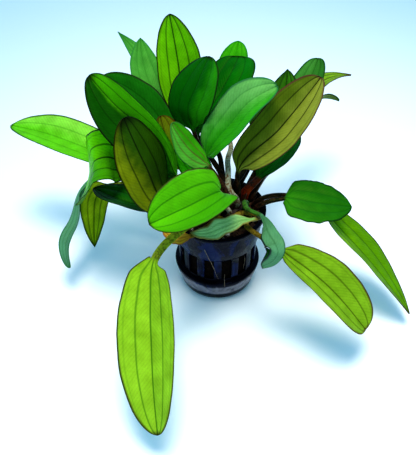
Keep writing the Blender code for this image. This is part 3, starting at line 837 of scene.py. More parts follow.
@dataclass
class GrowingMedium:
    """Plug of dark fibrous medium, lumpy on top, with loose fibres and a few pale crumbs."""

    top: float = 46.6
    lump: float = 0.9
    seat: tuple = (7.0, 1.0, 12.5, 47.15)  # axis, radius and height of the flat seat under the rhizome
    slope: float = 3.0  # how far out the seat falls to the uneven top
    edge_fall: float = 0.8  # the top is this much lower at the pot's wall
    edge_width: float = 2.0
    mean_radius: float = 20.0
    sides: int = 96
    # wall of the plug as (radius, height), just inside the pot
    wall: tuple = ((17.8, 1.95), (19.0, 4.5), (19.95, 15.5), (20.0, 18.0), (20.15, 25.0), (20.25, 33.5),
                   (22.1, 44.5))
    wall_step: float = 1.2
    dents: float = 0.5  # depth of the dents in the wall
    fibre_spread: float = 2.7e6  # fibres on a square metre of top
    fibre_length: float = 6.0
    fibre_thickness: float = 0.11  # radius, thicker than real so that it shows
    fibre_curl: float = 4.0
    curl_size: float = 3.0  # from one bend to the next
    fibre_points: int = 7
    fibre_sizes: tuple[float, float] = (0.4, 1.0)  # shortest and longest, as shares of the length
    fibre_lean: float = 0.5  # radians at most
    seed: int = 7
    crumbs: tuple = (  # place and radius
        (-9.0, -14.0, 1.5), (-12.0, -8.0, 1.1), (-4.0, -17.0, 1.2), (3.0, -19.0, 1.0), (-16.0, -3.0, 1.3),
        (-14.0, -12.0, 1.0), (-19.0, -9.0, 1.0), (-6.0, 16.0, 1.4), (8.0, 18.0, 1.1), (-17.0, 7.0, 1.2),
        (16.0, 12.0, 1.3), (20.0, 2.0, 0.9), (-2.0, -12.5, 0.9), (5.0, -16.0, 1.4))

    def lumps(self, x: float, y: float) -> float:
        """Height of the uneven top above its mean at a place.

        Args:
            x: Millimetres.
            y: Millimetres.

        Returns:
            Millimetres.
        """
        wide = 0.5 * math.sin(0.55 * x + 1.3) * math.cos(0.48 * y - 0.4) + 0.5 * math.sin(0.9 * y + 0.35 * x)
        fine = noise.noise(Vector((x, y, 3.7)) * 0.9)
        return self.lump * (0.6 * wide + 0.5 * fine)

    def top_point(self, x: float, y: float) -> tuple[float, float, float]:
        """Point of the lumpy top, which falls to the wall and is flat under the rhizome.

        Args:
            x: Millimetres.
            y: Millimetres.

        Returns:
            The place in metres.
        """
        fall = min(1.0, (self.wall[-1][0] - math.hypot(x, y)) / self.edge_width)
        z = self.top - self.edge_fall * (1.0 - fall) + self.lumps(x, y) * fall
        within = self.seat[2] + self.slope - math.hypot(x - self.seat[0], y - self.seat[1])
        z += (self.seat[3] - z) * min(1.0, max(0.0, within / self.slope))
        return metres(x, y, z)

    def wall_point(self, x: float, y: float, z: float) -> tuple[float, float, float]:
        """Point of the dented wall or of the flat underside.

        Args:
            x: Millimetres.
            y: Millimetres.
            z: Millimetres.

        Returns:
            The place in metres.
        """
        dent = self.dents * abs(noise.noise(Vector((x, y, z)) * 0.6)) if math.hypot(x, y) > 1.0 else 0.0
        share = 1.0 - dent / self.mean_radius
        return metres(x * share, y * share, z)

    def body(self, material: bpy.types.Material) -> bpy.types.Object:
        """Build the plug itself.

        Args:
            material: Finish of the plug.

        Returns:
            Closed mesh.
        """
        rows = [(0.01, self.wall[0][1])]
        for (r0, z0), (r1, z1) in zip(self.wall, self.wall[1:]):
            steps = max(1, round((z1 - z0) / self.wall_step))
            rows += [(r0 + (r1 - r0) * s / steps, z0 + (z1 - z0) * s / steps) for s in range(steps)]
        for share in (1.0, 0.97, *np.linspace(0.92, 0.06, 22), 0.001):
            rows.append((self.wall[-1][0] * share, None))
        bm = bmesh.new()
        rings = []
        for radius, height in rows:
            ring = []
            for turn in (math.tau * number / self.sides for number in range(self.sides)):
                x, y = radius * math.cos(turn), radius * math.sin(turn)
                place = self.top_point(x, y) if height is None else self.wall_point(x, y, height)
                ring.append(bm.verts.new(place))
            rings.append(ring)
        bridge(bm, rings)
        bmesh.ops.remove_doubles(bm, verts=bm.verts, dist=0.03 * MM)
        bmesh.ops.recalc_face_normals(bm, faces=bm.faces)
        return mesh_object("growing_medium_plug", bm, material)

    def fibre_tree(self) -> bpy.types.NodeTree:
        """Tree that grows short curled fibres from a surface.

        Returns:
            Tree with the inputs Surface, Density, Length, Curl, Thickness, Upright, Seed and Material.
        """
        tree, feed = node_tree("curled_fibres", {
            "Surface": "Geometry", "Density": "Float", "Length": "Float", "Curl": "Float",
            "Thickness": "Float", "Upright": "Float", "Seed": "Int", "Material": "Material"})
        add, seed = partial(add_node, tree), feed["Seed"]
        spread = add("GeometryNodeDistributePointsOnFaces", {
            "Mesh": feed["Surface"], "Density": feed["Density"], "Seed": seed})
        line = add("GeometryNodeCurvePrimitiveLine", {"Start": (-0.5, 0.0, 0.0), "End": (0.5, 0.0, 0.0)})
        line = add("GeometryNodeResampleCurve", {"Curve": line, "Count": self.fibre_points})
        lean = add(RANDOM, {"Min": -1.0, "Max": 1.0, "Seed": seed})
        lean = add("MULTIPLY", [lean, feed["Upright"]])
        turn = add(RANDOM, {"Min": 0.0, "Max": math.tau, "Seed": seed})
        rotation = add("ShaderNodeCombineXYZ", {"Y": lean, "Z": turn})
        scale = add(RANDOM, {"Min": self.fibre_sizes[0], "Max": self.fibre_sizes[1], "Seed": seed})
        scale = add("MULTIPLY", [scale, feed["Length"]])
        copies = add("GeometryNodeInstanceOnPoints", {
            "Points": spread, "Instance": line, "Rotation": rotation, "Scale": scale})
        real = add("GeometryNodeRealizeInstances", [copies])
        place = add("GeometryNodeInputPosition")
        drift = add(NOISE, {"Vector": place, "Scale": PER_MM / self.curl_size, "Detail": 2.0})
        offset = add(VECTOR, [drift.outputs["Color"], CENTRED], operation="ADD")
        offset = add(VECTOR, {"Vector": offset, "Scale": feed["Curl"]}, operation="SCALE")
        bent = add("GeometryNodeSetPosition", {"Geometry": real, "Offset": offset})
        circle = add("GeometryNodeCurvePrimitiveCircle", {"Resolution": 4, "Radius": feed["Thickness"]})
        tube = add("GeometryNodeCurveToMesh", {"Curve": bent, "Profile Curve": circle, "Fill Caps": True})
        close_tree(tree, tube, feed["Material"])
        return tree

    def top_face(self, material: bpy.types.Material) -> bpy.types.Object:
        """Flat disc that the loose fibres spring from.

        Args:
            material: Finish that the disc itself never shows.

        Returns:
            Mesh that is not shown by itself.
        """
        bm = bmesh.new()
        bmesh.ops.create_circle(bm, cap_ends=True, segments=32, radius=(self.wall[-1][0] - 1.5) * MM)
        bmesh.ops.translate(bm, verts=bm.verts, vec=(0.0, 0.0, (self.top + 0.5) * MM))
        return mesh_object("growing_medium_top", bm, material, link=False)

    def crumb(self, x: float, y: float, radius: float, material: bpy.types.Material) -> bpy.types.Object:
        """One pale crumb, an uneven lump pressed into the top.

        Args:
            x: Millimetres.
            y: Millimetres.
            radius: Millimetres.
            material: Finish of the crumb.

        Returns:
            Closed mesh.
        """
        bm = bmesh.new()
        bmesh.ops.create_icosphere(bm, subdivisions=3, radius=radius * MM)
        for vertex in bm.verts:
            rough = noise.noise(vertex.co * PER_MM / 0.9 + Vector((x, y, 0.0)))
            vertex.co *= 1.0 + 0.35 * rough
        place = Vector((x, y, self.top + self.lumps(x, y) + 0.3 * radius)) * MM
        bmesh.ops.translate(bm, verts=bm.verts, vec=place)
        return mesh_object("crumb", bm, material)

    def build(self) -> None:
        """Build the plug, its loose fibres and its crumbs, as three pieces."""
        # packed fibre swallows the light: near black and without gloss
        soil = EarthyFinish("damp_coir_and_mineral_wool", "#160D08", "#040302", grain=0.9, roughness=0.9,
                            relief=0.6, shine=0.03).material()
        # single threads catch more of it: dark brown and faintly glossy
        fibre = EarthyFinish("coir_fibre", "#4A3220", "#140C08", grain=1.5, roughness=0.8,
                             relief=0.1).material()
        # expanded rock, chalky and bright
        pale = EarthyFinish("perlite_crumb", "#D8D4C6", "#9C9484", grain=0.7, roughness=0.9,
                            relief=0.2).material()
        plug = self.body(soil)
        tuft = grow("growing_medium_fibres", self.top_face(soil), self.fibre_tree(), {
            "Density": self.fibre_spread, "Length": self.fibre_length * MM, "Curl": self.fibre_curl * MM,
            "Thickness": self.fibre_thickness * MM, "Upright": self.fibre_lean, "Seed": self.seed,
            "Material": fibre})
        crumbs = join_as("growing_medium_crumbs", [self.crumb(*crumb, pale) for crumb in self.crumbs])
        settle(plug, "growing_medium", "growing_medium")
        settle(tuft, "growing_medium")
        settle(crumbs, "growing_medium")


# ---- rhizome

@dataclass
class Rhizome:
    """Short thick rhizome, ringed by leaf scars and papery sheaths."""

    x: float = 7.0  # it sits off the pot's axis
    y: float = 1.0
    top: float = 54.0
    bottom: float = 47.5
    fall: float = 4.0  # the domed top is this much lower at its edge
    radius: float = 13.8
    foot: tuple = ((0.6, 0.0), (0.85, 0.0), (0.96, 0.8))  # share of the radius, height above the bottom
    rings: int = 26
    sides: int = 72
    scar_depth: float = 0.25
    pit_depth: float = 0.5
    sheath_count: int = 34
    sheath_length: float = 7.0
    sheath_width: float = 4.6
    sheath_thickness: float = 0.25
    sheath_bulge: float = 0.9
    sheath_grid: tuple[int, int] = (9, 8)  # faces along and across
    sheath_sizes: tuple[float, float] = (0.55, 1.1)  # smallest and largest, as shares of the size
    sheath_lean: tuple[float, float] = (0.1, 0.75)  # radians at the middle, and more at the edge
    sheath_sunk: float = 0.9  # how deep a sheath sits in the bark
    sheath_inset: float = 0.8  # how far from the edge the outermost one stands
    seed: int = 3

    def height(self, radius: float) -> float:
        """Height of the domed top at a radius from the rhizome's axis, in millimetres."""
        share = min(1.0, radius / self.radius)
        return self.top - self.fall * share ** 2.2

    def dome(self, material: bpy.types.Material) -> bpy.types.Object:
        """Body of the rhizome.

        Args:
            material: Finish of the bark.

        Returns:
            Closed mesh.
        """
        rim = self.height(self.radius)
        rows = [(0.001, self.bottom)]
        rows += [(self.radius * share, self.bottom + rise) for share, rise in self.foot]
        rows += [(self.radius, rim - 1.0), (self.radius * 0.995, rim)]
        for share in np.linspace(0.96, 0.0, self.rings):
            rows.append((max(self.radius * share, 0.001), self.height(self.radius * share)))
        bm = bmesh.new()
        rings = []
        for radius, height in rows:
            ring = []
            for number in range(self.sides):
                turn = math.tau * number / self.sides
                x, y = self.x + radius * math.cos(turn), self.y + radius * math.sin(turn)
                scar = self.scar_depth * math.sin(1.9 * radius + 2.0 * math.sin(2 * turn))
                rough = self.pit_depth * noise.noise(Vector((x, y, height)) * 0.8)
                pit = min(0.0, scar + rough - 0.2) if height > self.bottom else 0.0
                ring.append(bm.verts.new(metres(x, y, height + pit)))
            rings.append(ring)
        bridge(bm, rings)
        bmesh.ops.remove_doubles(bm, verts=bm.verts, dist=0.02 * MM)
        bmesh.ops.recalc_face_normals(bm, faces=bm.faces)
        return mesh_object("rhizome_body", bm, material)

    def sheath_tree(self) -> bpy.types.NodeTree:
        """Tree that sets papery sheaths in a spiral on the rhizome's top.

        Returns:
            Tree with the inputs Count, Radius, Rise, Centre, Seed and Material, carried by the sheath.
        """
        tree, feed = node_tree("rhizome_sheaths", {
            "Sheath": "Geometry", "Count": "Int", "Radius": "Float", "Rise": "Float", "Centre": "Vector",
            "Seed": "Int", "Material": "Material"})
        add = partial(add_node, tree)
        points = add("GeometryNodePoints", {"Count": feed["Count"]})
        index = add("GeometryNodeInputIndex")
        angle = add("MULTIPLY", [index, math.pi * (3 - math.sqrt(5))])
        share = add("DIVIDE", [index, feed["Count"]])
        reach = add("MULTIPLY", [add("SQRT", [share]), feed["Radius"]])
        x = add("MULTIPLY", [add("COSINE", [angle]), reach])
        y = add("MULTIPLY", [add("SINE", [angle]), reach])
        z = add("MULTIPLY", [add("POWER", [share, 1.1]), feed["Rise"]])
        spot = add("ShaderNodeCombineXYZ", {"X": x, "Y": y, "Z": z})
        spot = add(VECTOR, [spot, feed["Centre"]], operation="ADD")
        placed = add("GeometryNodeSetPosition", {"Geometry": points, "Position": spot})
        lean = add("MULTIPLY_ADD", [share, self.sheath_lean[1], self.sheath_lean[0]])
        rotation = add("ShaderNodeCombineXYZ", {"Y": lean, "Z": angle})
        size = add(RANDOM, {"Min": self.sheath_sizes[0], "Max": self.sheath_sizes[1], "Seed": feed["Seed"]})
        copies = add("GeometryNodeInstanceOnPoints", {
            "Points": placed, "Instance": feed["Sheath"], "Rotation": rotation, "Scale": size})
        close_tree(tree, copies, feed["Material"])
        return tree

    def sheath(self, material: bpy.types.Material) -> bpy.types.Object:
        """One papery sheath, a pointed curved scale that stands on its base at the origin.

        Args:
            material: Finish of the sheaths.

        Returns:
            Thin closed mesh, not shown by itself.
        """
        steps, sides = self.sheath_grid
        wide = 0.5 * self.sheath_width
        bm = bmesh.new()
        layers = []
        for shift in (0.5 * self.sheath_thickness, -0.5 * self.sheath_thickness):
            rows = []
            for share in (step / steps for step in range(steps + 1)):
                half = wide * (1.0 - share) ** 0.7 * (0.75 + 0.5 * share) + 0.08
                row = []
                for u in (2.0 * number / sides - 1.0 for number in range(sides + 1)):
                    bulge = self.sheath_bulge * ((1.0 - u * u) * half / wide + share ** 2)
                    place = metres(bulge + shift, u * half, share * self.sheath_length)
                    row.append(bm.verts.new(place))
                rows.append(row)
            bridge(bm, rows, closed=False)
            layers.append(rows)
        outer, inner = layers
        for end in (0, -1):
            bridge(bm, [outer[end], inner[end]], closed=False)
            bridge(bm, [[row[end] for row in outer], [row[end] for row in inner]], closed=False)
        bmesh.ops.recalc_face_normals(bm, faces=bm.faces)
        return mesh_object("rhizome_sheath", bm, material, link=False)

    def build(self) -> None:
        """Build the rhizome with its sheaths as one piece."""
        # corky bark, dark and rough, with a little sheen on its ridges
        bark = EarthyFinish("rhizome_bark", "#3A2214", "#0E0704", grain=1.2, roughness=0.75,
                            relief=0.5).material()
        # dead leaf bases, thin and smoother, so they catch more light
        papery = EarthyFinish("dry_leaf_sheath", "#5A3820", "#1C0E08", grain=2.2, roughness=0.6,
                              relief=0.2).material()
        body = self.dome(bark)
        sheaths = grow("rhizome_sheaths", self.sheath(papery), self.sheath_tree(), {
            "Count": self.sheath_count, "Radius": (self.radius - self.sheath_inset) * MM,
            "Rise": -self.fall * MM, "Centre": metres(self.x, self.y, self.top - self.sheath_sunk),
            "Seed": self.seed, "Material": papery})
        settle(join_as("rhizome_body", [body, sheaths]), "rhizome", "rhizome")


# ---- fine roots

@dataclass
class FineRoots:
    """Thin roots that came out through the slots and over the pot's side.

    A path is a list of (bearing in degrees, height, distance from the pot's axis) in millimetres.
    """

    paths: tuple = (
        ((253.5, 44.0, 25.2), (257.0, 38.0, 24.1), (263.0, 30.0, 22.5), (268.5, 22.5, 22.2),
         (271.0, 19.0, 22.3)),
        ((281.0, 21.0, 20.6), (280.0, 18.5, 22.2), (279.5, 17.2, 23.4), (279.5, 15.0, 24.3)),
        ((262.0, 28.0, 20.8), (265.5, 24.0, 21.2), (267.5, 20.0, 21.0)),
        ((317.0, 30.0, 20.6), (314.0, 25.0, 21.3), (312.5, 20.5, 20.8)),
        ((243.0, 31.0, 20.6), (241.0, 25.5, 21.4), (237.0, 20.0, 20.7)),
        ((20.0, 31.0, 20.8), (16.0, 26.0, 22.0), (13.0, 20.0, 21.5), (12.0, 17.5, 23.2)),
        ((96.0, 31.0, 20.7), (92.0, 26.0, 22.0), (90.0, 21.0, 22.2), (86.0, 18.0, 23.6), (84.0, 12.0, 23.8)),
        ((150.0, 30.0, 20.7), (154.0, 24.0, 21.6), (158.0, 20.0, 20.9)),
        ((200.0, 46.0, 25.9), (203.0, 40.0, 24.5), (207.0, 33.5, 23.4), (212.0, 28.0, 22.5)),
        ((60.0, 45.0, 25.7), (57.0, 38.0, 24.2), (50.0, 32.0, 22.8), (46.0, 26.0, 21.6)),
    )
    thickness: float = 0.2  # radius at the start
    tip_share: float = 0.35  # of that radius at the tip
    crook: float = 1.0  # how far it strays from its path
    crook_size: float = 4.0  # from one bend to the next
    points: int = 40
    sides: int = 8

    def root_tree(self) -> bpy.types.NodeTree:
        """Tree that makes a tapering, faintly crooked root along a path.

        Returns:
            Tree with the inputs Thickness, Crook, Seed and Material, carried by the path.
        """
        tree, feed = node_tree("tapering_root", {
            "Path": "Geometry", "Thickness": "Float", "Crook": "Float", "Seed": "Float",
            "Material": "Material"})
        add = partial(add_node, tree)
        path = add("GeometryNodeResampleCurve", {"Curve": feed["Path"], "Count": self.points})
        shift = add("ShaderNodeCombineXYZ", {"X": feed["Seed"]})
        spot = add(VECTOR, [add("GeometryNodeInputPosition"), shift], operation="ADD")
        drift = add(NOISE, {"Vector": spot, "Scale": PER_MM / self.crook_size, "Detail": 3.0})
        offset = add(VECTOR, [drift.outputs["Color"], CENTRED], operation="ADD")
        offset = add(VECTOR, {"Vector": offset, "Scale": feed["Crook"]}, operation="SCALE")
        crooked = add("GeometryNodeSetPosition", {"Geometry": path, "Offset": offset})
        share = add("GeometryNodeSplineParameter").outputs["Factor"]
        radius = add(RANGE, {"Value": share, "To Min": 1.0, "To Max": self.tip_share})
        radius = add("MULTIPLY", [radius, feed["Thickness"]])
        thick = add("GeometryNodeSetCurveRadius", {"Curve": crooked, "Radius": radius})
        circle = add("GeometryNodeCurvePrimitiveCircle", {"Resolution": self.sides, "Radius": 1.0})
        tube = add("GeometryNodeCurveToMesh", {
            "Curve": thick, "Profile Curve": circle, "Scale": radius, "Fill Caps": True})
        close_tree(tree, tube, feed["Material"])
        return tree

    def build(self) -> bpy.types.Object:
        """Build all the roots as one piece.

        Returns:
            The roots, riding with the pot.
        """
        # living root skin, pale brown and faintly glossy against the black pot
        skin = EarthyFinish("young_root", "#8A7660", "#54422E", grain=1.5, roughness=0.55,
                            relief=0.1).material()
        tree = self.root_tree()
        made = []
        for number, path in enumerate(self.paths):
            points = [(r * math.cos(math.radians(b)), r * math.sin(math.radians(b)), z) for b, z, r in path]
            made.append(grow(f"root_{number + 1:02d}", bezier_path("root_path", points), tree, {
                "Thickness": self.thickness * MM, "Crook": self.crook * MM, "Seed": 0.37 * number,
                "Material": skin}))
        roots = join_as("fine_roots", made)
        settle(roots, "rhizome")
        return roots


# ---- leaves

class LeafLoft:
    """Geometry Nodes tree that lofts one leaf, petiole and blade, along its midrib.

    A closed tube is bent to the midrib, which carries the tree. Its section is half-moon shaped on the
    petiole and flattens into the blade, which is folded, curled and wavy, with a keel below and a groove
    above the midrib. The inputs are the sizes of a leaf, in metres and radians, and its material.
    """

    RING = 56  # points round the tube
    STATIONS = 110  # and along it
    STALK_SHARE = 0.22  # share of the stations that the petiole takes
    CROWDING = 0.6  # how far the blade's stations crowd towards its ends
    STALK_ABOVE = 0.64  # height of the petiole above its widest line, as a share of that below
    COLLAR_SHARE = 0.13  # share of the blade over which the petiole flattens
    MIDRIB_REACH = 1.8  # how far the keel and the groove reach to each side
    TIP_RADIUS = 0.15
    EDGE_POWER = 8.0  # how far out the blade keeps its thickness
    LOBE_POWERS = (1.5, 4.0)  # how fast a lobe grows to the edge, and fades along the blade
    LOBE_ONSET = 0.05  # share of the blade over which it sets in
    HALVES_APART = 3.0  # so that the halves don't ripple alike
    RIPPLES = 7.0  # swells along each edge
    TEETH = 3.3  # corners along each edge of a torn leaf
    TEETH_APART = 0.15  # so that the corners of the halves don't meet
    WAVES = 3.4  # waves along each half
    FLOATS = ("Width", "Base Power", "Tip Power", "Fold Left", "Fold Right", "Curl", "Heading",
              "Roll Start", "Roll End", "Lobe Left", "Lobe Right", "Root Radius", "Collar Radius", "Strap",
              "Thickness", "Keel", "Groove", "Quilt", "Wave", "Ripple", "Torn", "Seed")

    def __init__(self) -> None:
        """Build the tree."""
        self.tree, self.feed = node_tree("leaf_loft", {
            "Midrib": "Geometry", "Collar Point": "Int", **dict.fromkeys(self.FLOATS, "Float"),
            "Material": "Material"})
        self.add = add = partial(add_node, self.tree)
        tube = add("GeometryNodeMeshCylinder", {
            "Vertices": self.RING, "Side Segments": self.STATIONS, "Radius": 1.0, "Depth": 1.0},
            fill_type="NGON")
        self.x, self.y, z = add("ShaderNodeSeparateXYZ", [add("GeometryNodeInputPosition")]).outputs
        self.go_round()
        self.go_along(z)
        self.follow_midrib()
        self.half = self.half_width()
        flat = add(RANGE, {"Value": self.along, "From Max": self.COLLAR_SHARE}, **SMOOTH)
        (stalk_across, stalk_up), (blade_across, blade_up) = self.stalk_section(), self.blade_section()
        sideways = add(MIX, {"Factor": flat, "A": stalk_across, "B": blade_across})
        height = add(MIX, {"Factor": flat, "A": stalk_up, "B": blade_up})
        moved = add(VECTOR, [self.across, sideways, self.spot], operation="MULTIPLY_ADD")
        moved = add(VECTOR, [self.upward, height, moved], operation="MULTIPLY_ADD")
        moved = add(VECTOR, [self.way, self.lobe(), moved], operation="MULTIPLY_ADD")
        shaped = add("GeometryNodeSetPosition", {"Geometry": self.with_pattern(tube), "Position": moved})
        close_tree(self.tree, shaped, self.feed["Material"])

    def go_round(self) -> None:
        """Find where a point lies across the leaf: u runs from -1 at the left edge to 1 at the right one."""
        add = self.add
        angle = add("ARCTAN2", [self.y, self.x])
        angle = add("ABSOLUTE", [angle])
        self.u = add("MULTIPLY_ADD", [angle, 2 / math.pi, -1.0])
        self.edge = add("ABSOLUTE", [self.u])
        self.face = add("SIGN", [self.y])
        self.left = add("FunctionNodeCompare", {"A": self.u, "B": 0.0}, operation="LESS_THAN")
        self.side = self.by_side(1.0, -1.0)

    def by_side(self, right: bpy.types.NodeSocket | float,
                left: bpy.types.NodeSocket | float) -> bpy.types.Node:
        """Switch between a value of the right half and one of the left half."""
        return self.add(SWITCH, {"Switch": self.left, "False": right, "True": left}, input_type="FLOAT")

    def go_along(self, z: bpy.types.NodeSocket) -> None:
        """Find where a point lies along the petiole and the blade, whose stations crowd towards its ends.

        Args:
            z: Height in the tube, -0.5 to 0.5.
        """
        add = self.add
        step = add("ADD", [z, 0.5])
        self.stalk = add(RANGE, {"Value": step, "From Max": self.STALK_SHARE})
        even = add(RANGE, {"Value": step, "From Min": self.STALK_SHARE, "From Max": 1.0})
        swing = add("MULTIPLY", [even, math.pi])
        swing = add("COSINE", [swing])
        swing = add("MULTIPLY_ADD", [swing, -0.5, 0.5])
        self.along = add(MIX, {"Factor": self.CROWDING, "A": even, "B": swing})
        self.ahead = add("SUBTRACT", [1.0, self.along])

    def follow_midrib(self) -> None:
        """Find the place on the midrib and the directions there: onward, across to the right, and upward."""
        add, feed = self.add, self.feed
        total = add("GeometryNodeCurveLength", [feed["Midrib"]])
        marks = add("GeometryNodeSplineParameter").outputs["Length"]
        self.collar = add("GeometryNodeSampleIndex", {
            "Geometry": feed["Midrib"], "Value": marks, "Index": feed["Collar Point"]})
        blade_length = add("SUBTRACT", [total, self.collar])
        stalk_run = add("MULTIPLY", [self.stalk, self.collar])
        self.reach = add("MULTIPLY_ADD", [self.along, blade_length, stalk_run])
        sample = add("GeometryNodeSampleCurve", {"Curves": feed["Midrib"], "Length": self.reach},
                     mode="LENGTH")
        self.spot, self.way = sample.outputs["Position"], sample.outputs["Tangent"]
        east = add("SINE", [feed["Heading"]])
        north = add("MULTIPLY", [add("COSINE", [feed["Heading"]]), -1.0])
        level = add("ShaderNodeCombineXYZ", {"X": east, "Y": north})
        lean = add(VECTOR, [level, self.way], operation="DOT_PRODUCT")
        lean = add(VECTOR, {"Vector": self.way, "Scale": lean}, operation="SCALE")
        level = add(VECTOR, [level, lean], operation="SUBTRACT")
        level = add(VECTOR, [level], operation="NORMALIZE")
        roll = add(MIX, {"Factor": self.along, "A": feed["Roll Start"], "B": feed["Roll End"]})
        self.across = add("ShaderNodeVectorRotate", {"Vector": level, "Axis": self.way, "Angle": roll},
                          rotation_type="AXIS_ANGLE", invert=True)
        self.upward = add(VECTOR, [self.across, self.way], operation="CROSS_PRODUCT")

    def half_width(self) -> bpy.types.Node:
        """Shape the outline, with a rippled or torn edge and never narrower than the petiole.

        Returns:
            Half width of the leaf.
        """
        add, feed = self.add, self.feed
        powers = add("ADD", [feed["Base Power"], feed["Tip Power"]])
        widest = add("DIVIDE", [feed["Base Power"], powers])
        rise = add("DIVIDE", [self.along, widest])
        rise = add("POWER", [rise, feed["Base Power"]])
        fall = add("DIVIDE", [self.ahead, add("SUBTRACT", [1.0, widest])])
        fall = add("POWER", [fall, feed["Tip Power"]])
        half = add("MULTIPLY", [rise, fall])
        half = add("MULTIPLY", [half, feed["Width"]])
        half = add("MULTIPLY", [half, 0.5])

        self.shift = add("MULTIPLY_ADD", [self.side, self.HALVES_APART, feed["Seed"]])
        swells = add("MULTIPLY", [self.along, self.RIPPLES])
        swells = add("ShaderNodeCombineXYZ", {"X": self.shift, "Y": swells})
        ripple = add(NOISE, {"Vector": swells, "Scale": 1.0, "Detail": 1.0})
        ripple = add("MULTIPLY_ADD", [ripple, 2.0, -1.0])
        ripple = add("MULTIPLY_ADD", [ripple, feed["Ripple"], 1.0])
        half = add("MULTIPLY", [half, ripple])

        teeth = add("MULTIPLY", [self.side, self.TEETH_APART])
        teeth = add("MULTIPLY_ADD", [self.along, self.TEETH, teeth])
        dent = add("PINGPONG", [teeth, 0.5])
        dent = add("MULTIPLY", [dent, feed["Torn"]])
        half = add("MULTIPLY", [half, add("SUBTRACT", [1.0, dent])])

        radius = add(MIX, {"Factor": self.stalk, "A": feed["Root Radius"], "B": feed["Collar Radius"]})
        self.radius = add(MIX, {"Factor": self.along, "A": radius, "B": self.TIP_RADIUS * MM})
        self.strap = add("MULTIPLY", [self.radius, feed["Strap"]])
        return add("MAXIMUM", [half, self.strap])

    def stalk_section(self) -> tuple[bpy.types.Node, bpy.types.Node]:
        """Shape the petiole's section, which is fuller below than above.

        Returns:
            Place across and upward.
        """
        add = self.add
        above = self.STALK_ABOVE
        moon = add("MULTIPLY_ADD", [self.face, 0.5 * (above - 1.0), 0.5 * (above + 1.0)])
        upward = add("MULTIPLY", [self.y, self.radius])
        across = add("MULTIPLY", [self.x, self.strap])
        return add("MULTIPLY", [across, -1.0]), add("MULTIPLY", [upward, moon])

    def blade_section(self) -> tuple[bpy.types.Node, bpy.types.Node]:
        """Shape the blade's section: folded, curled, keeled, quilted and wavy.

        Returns:
            Place across and upward.
        """
        add, feed = self.add, self.feed
        curl = add("MULTIPLY", [self.edge, feed["Curl"]])
        lift = add("MULTIPLY_ADD", [curl, 0.5, self.by_side(feed["Fold Right"], feed["Fold Left"])])
        outward = add("MULTIPLY", [self.edge, self.half])
        across = add("MULTIPLY", [outward, add("COSINE", [lift])])
        across = add("MULTIPLY", [across, self.side])
        upward = add("MULTIPLY", [outward, add("SINE", [lift])])

        # even thickness with a rounded edge
        body = add("POWER", [self.edge, self.EDGE_POWER])
        body = add("SUBTRACT", [1.0, body])
        body = add("MULTIPLY", [add("SQRT", [body]), feed["Thickness"]])
        body = add("MULTIPLY", [body, add("MULTIPLY", [self.face, 0.5])])
        upward = add("ADD", [upward, body])

        # keel below and groove above the midrib
        near = add(RANGE, {"Value": outward, "From Min": self.MIDRIB_REACH * MM, "From Max": 0.0}, **SMOOTH)
        near = add("MULTIPLY", [near, self.ahead])
        above = add("FunctionNodeCompare", {"A": self.y, "B": 0.0}, operation="GREATER_THAN")
        dip = add(SWITCH, {"Switch": above, "False": feed["Keel"], "True": feed["Groove"]},
                  input_type="FLOAT")
        dip = add("MULTIPLY", [near, dip])
        upward = add("SUBTRACT", [upward, dip])

        # quilted between the parallel veins, and wavy towards the edge
        panel = add("MULTIPLY", [self.edge, math.tau / VEINS[1][0]])
        panel = add("COSINE", [panel])
        panel = add("MULTIPLY_ADD", [panel, -0.5, 0.5])
        upward = add("MULTIPLY_ADD", [panel, feed["Quilt"], upward])
        waves = add("MULTIPLY", [self.along, self.WAVES])
        waves = add("ShaderNodeCombineXYZ", {"X": self.shift, "Y": waves, "Z": 5.0})
        wave = add(NOISE, {"Vector": waves, "Scale": 1.0, "Detail": 0.5})
        wave = add("MULTIPLY_ADD", [wave, 2.0, -1.0])
        wave = add("MULTIPLY", [wave, add("POWER", [self.edge, 2.0])])
        return across, add("MULTIPLY_ADD", [wave, feed["Wave"], upward])

    def lobe(self) -> bpy.types.Node:
        """Set the lobes back past the collar.

        Returns:
            Push along the midrib.
        """
        add, feed = self.add, self.feed
        outer = add("POWER", [self.edge, self.LOBE_POWERS[0]])
        lobe = add("MULTIPLY", [self.by_side(feed["Lobe Right"], feed["Lobe Left"]), outer])
        lobe = add("MULTIPLY", [lobe, add("POWER", [self.ahead, self.LOBE_POWERS[1]])])
        onset = add(RANGE, {"Value": self.along, "From Max": self.LOBE_ONSET, "To Max": -1.0}, **SMOOTH)
        return add("MULTIPLY", [lobe, onset])

    def with_pattern(self, tube: bpy.types.Node) -> bpy.types.Node:
        """Store the attributes that the leaf's material reads.

        Args:
            tube: The closed tube.

        Returns:
            The tube with its attributes.
        """
        add = self.add
        along = add("ADD", [self.stalk, -1.0])
        along = add("ADD", [along, self.along])
        below = add("MULTIPLY_ADD", [self.face, -0.5, 0.5])
        grid = add("ShaderNodeCombineXYZ", {"X": self.u, "Y": along, "Z": below})
        past = add("SUBTRACT", [self.reach, self.collar])
        size = add("ShaderNodeCombineXYZ", {"X": add("MULTIPLY", [self.half, PER_MM]),
                                            "Y": add("MULTIPLY", [past, PER_MM])})
        for name, value in (("leaf_grid", grid), ("leaf_size", size)):
            tube = add("GeometryNodeStoreNamedAttribute", {"Geometry": tube, "Name": name, "Value": value},
                       data_type="FLOAT_VECTOR", domain="POINT")
        return tube


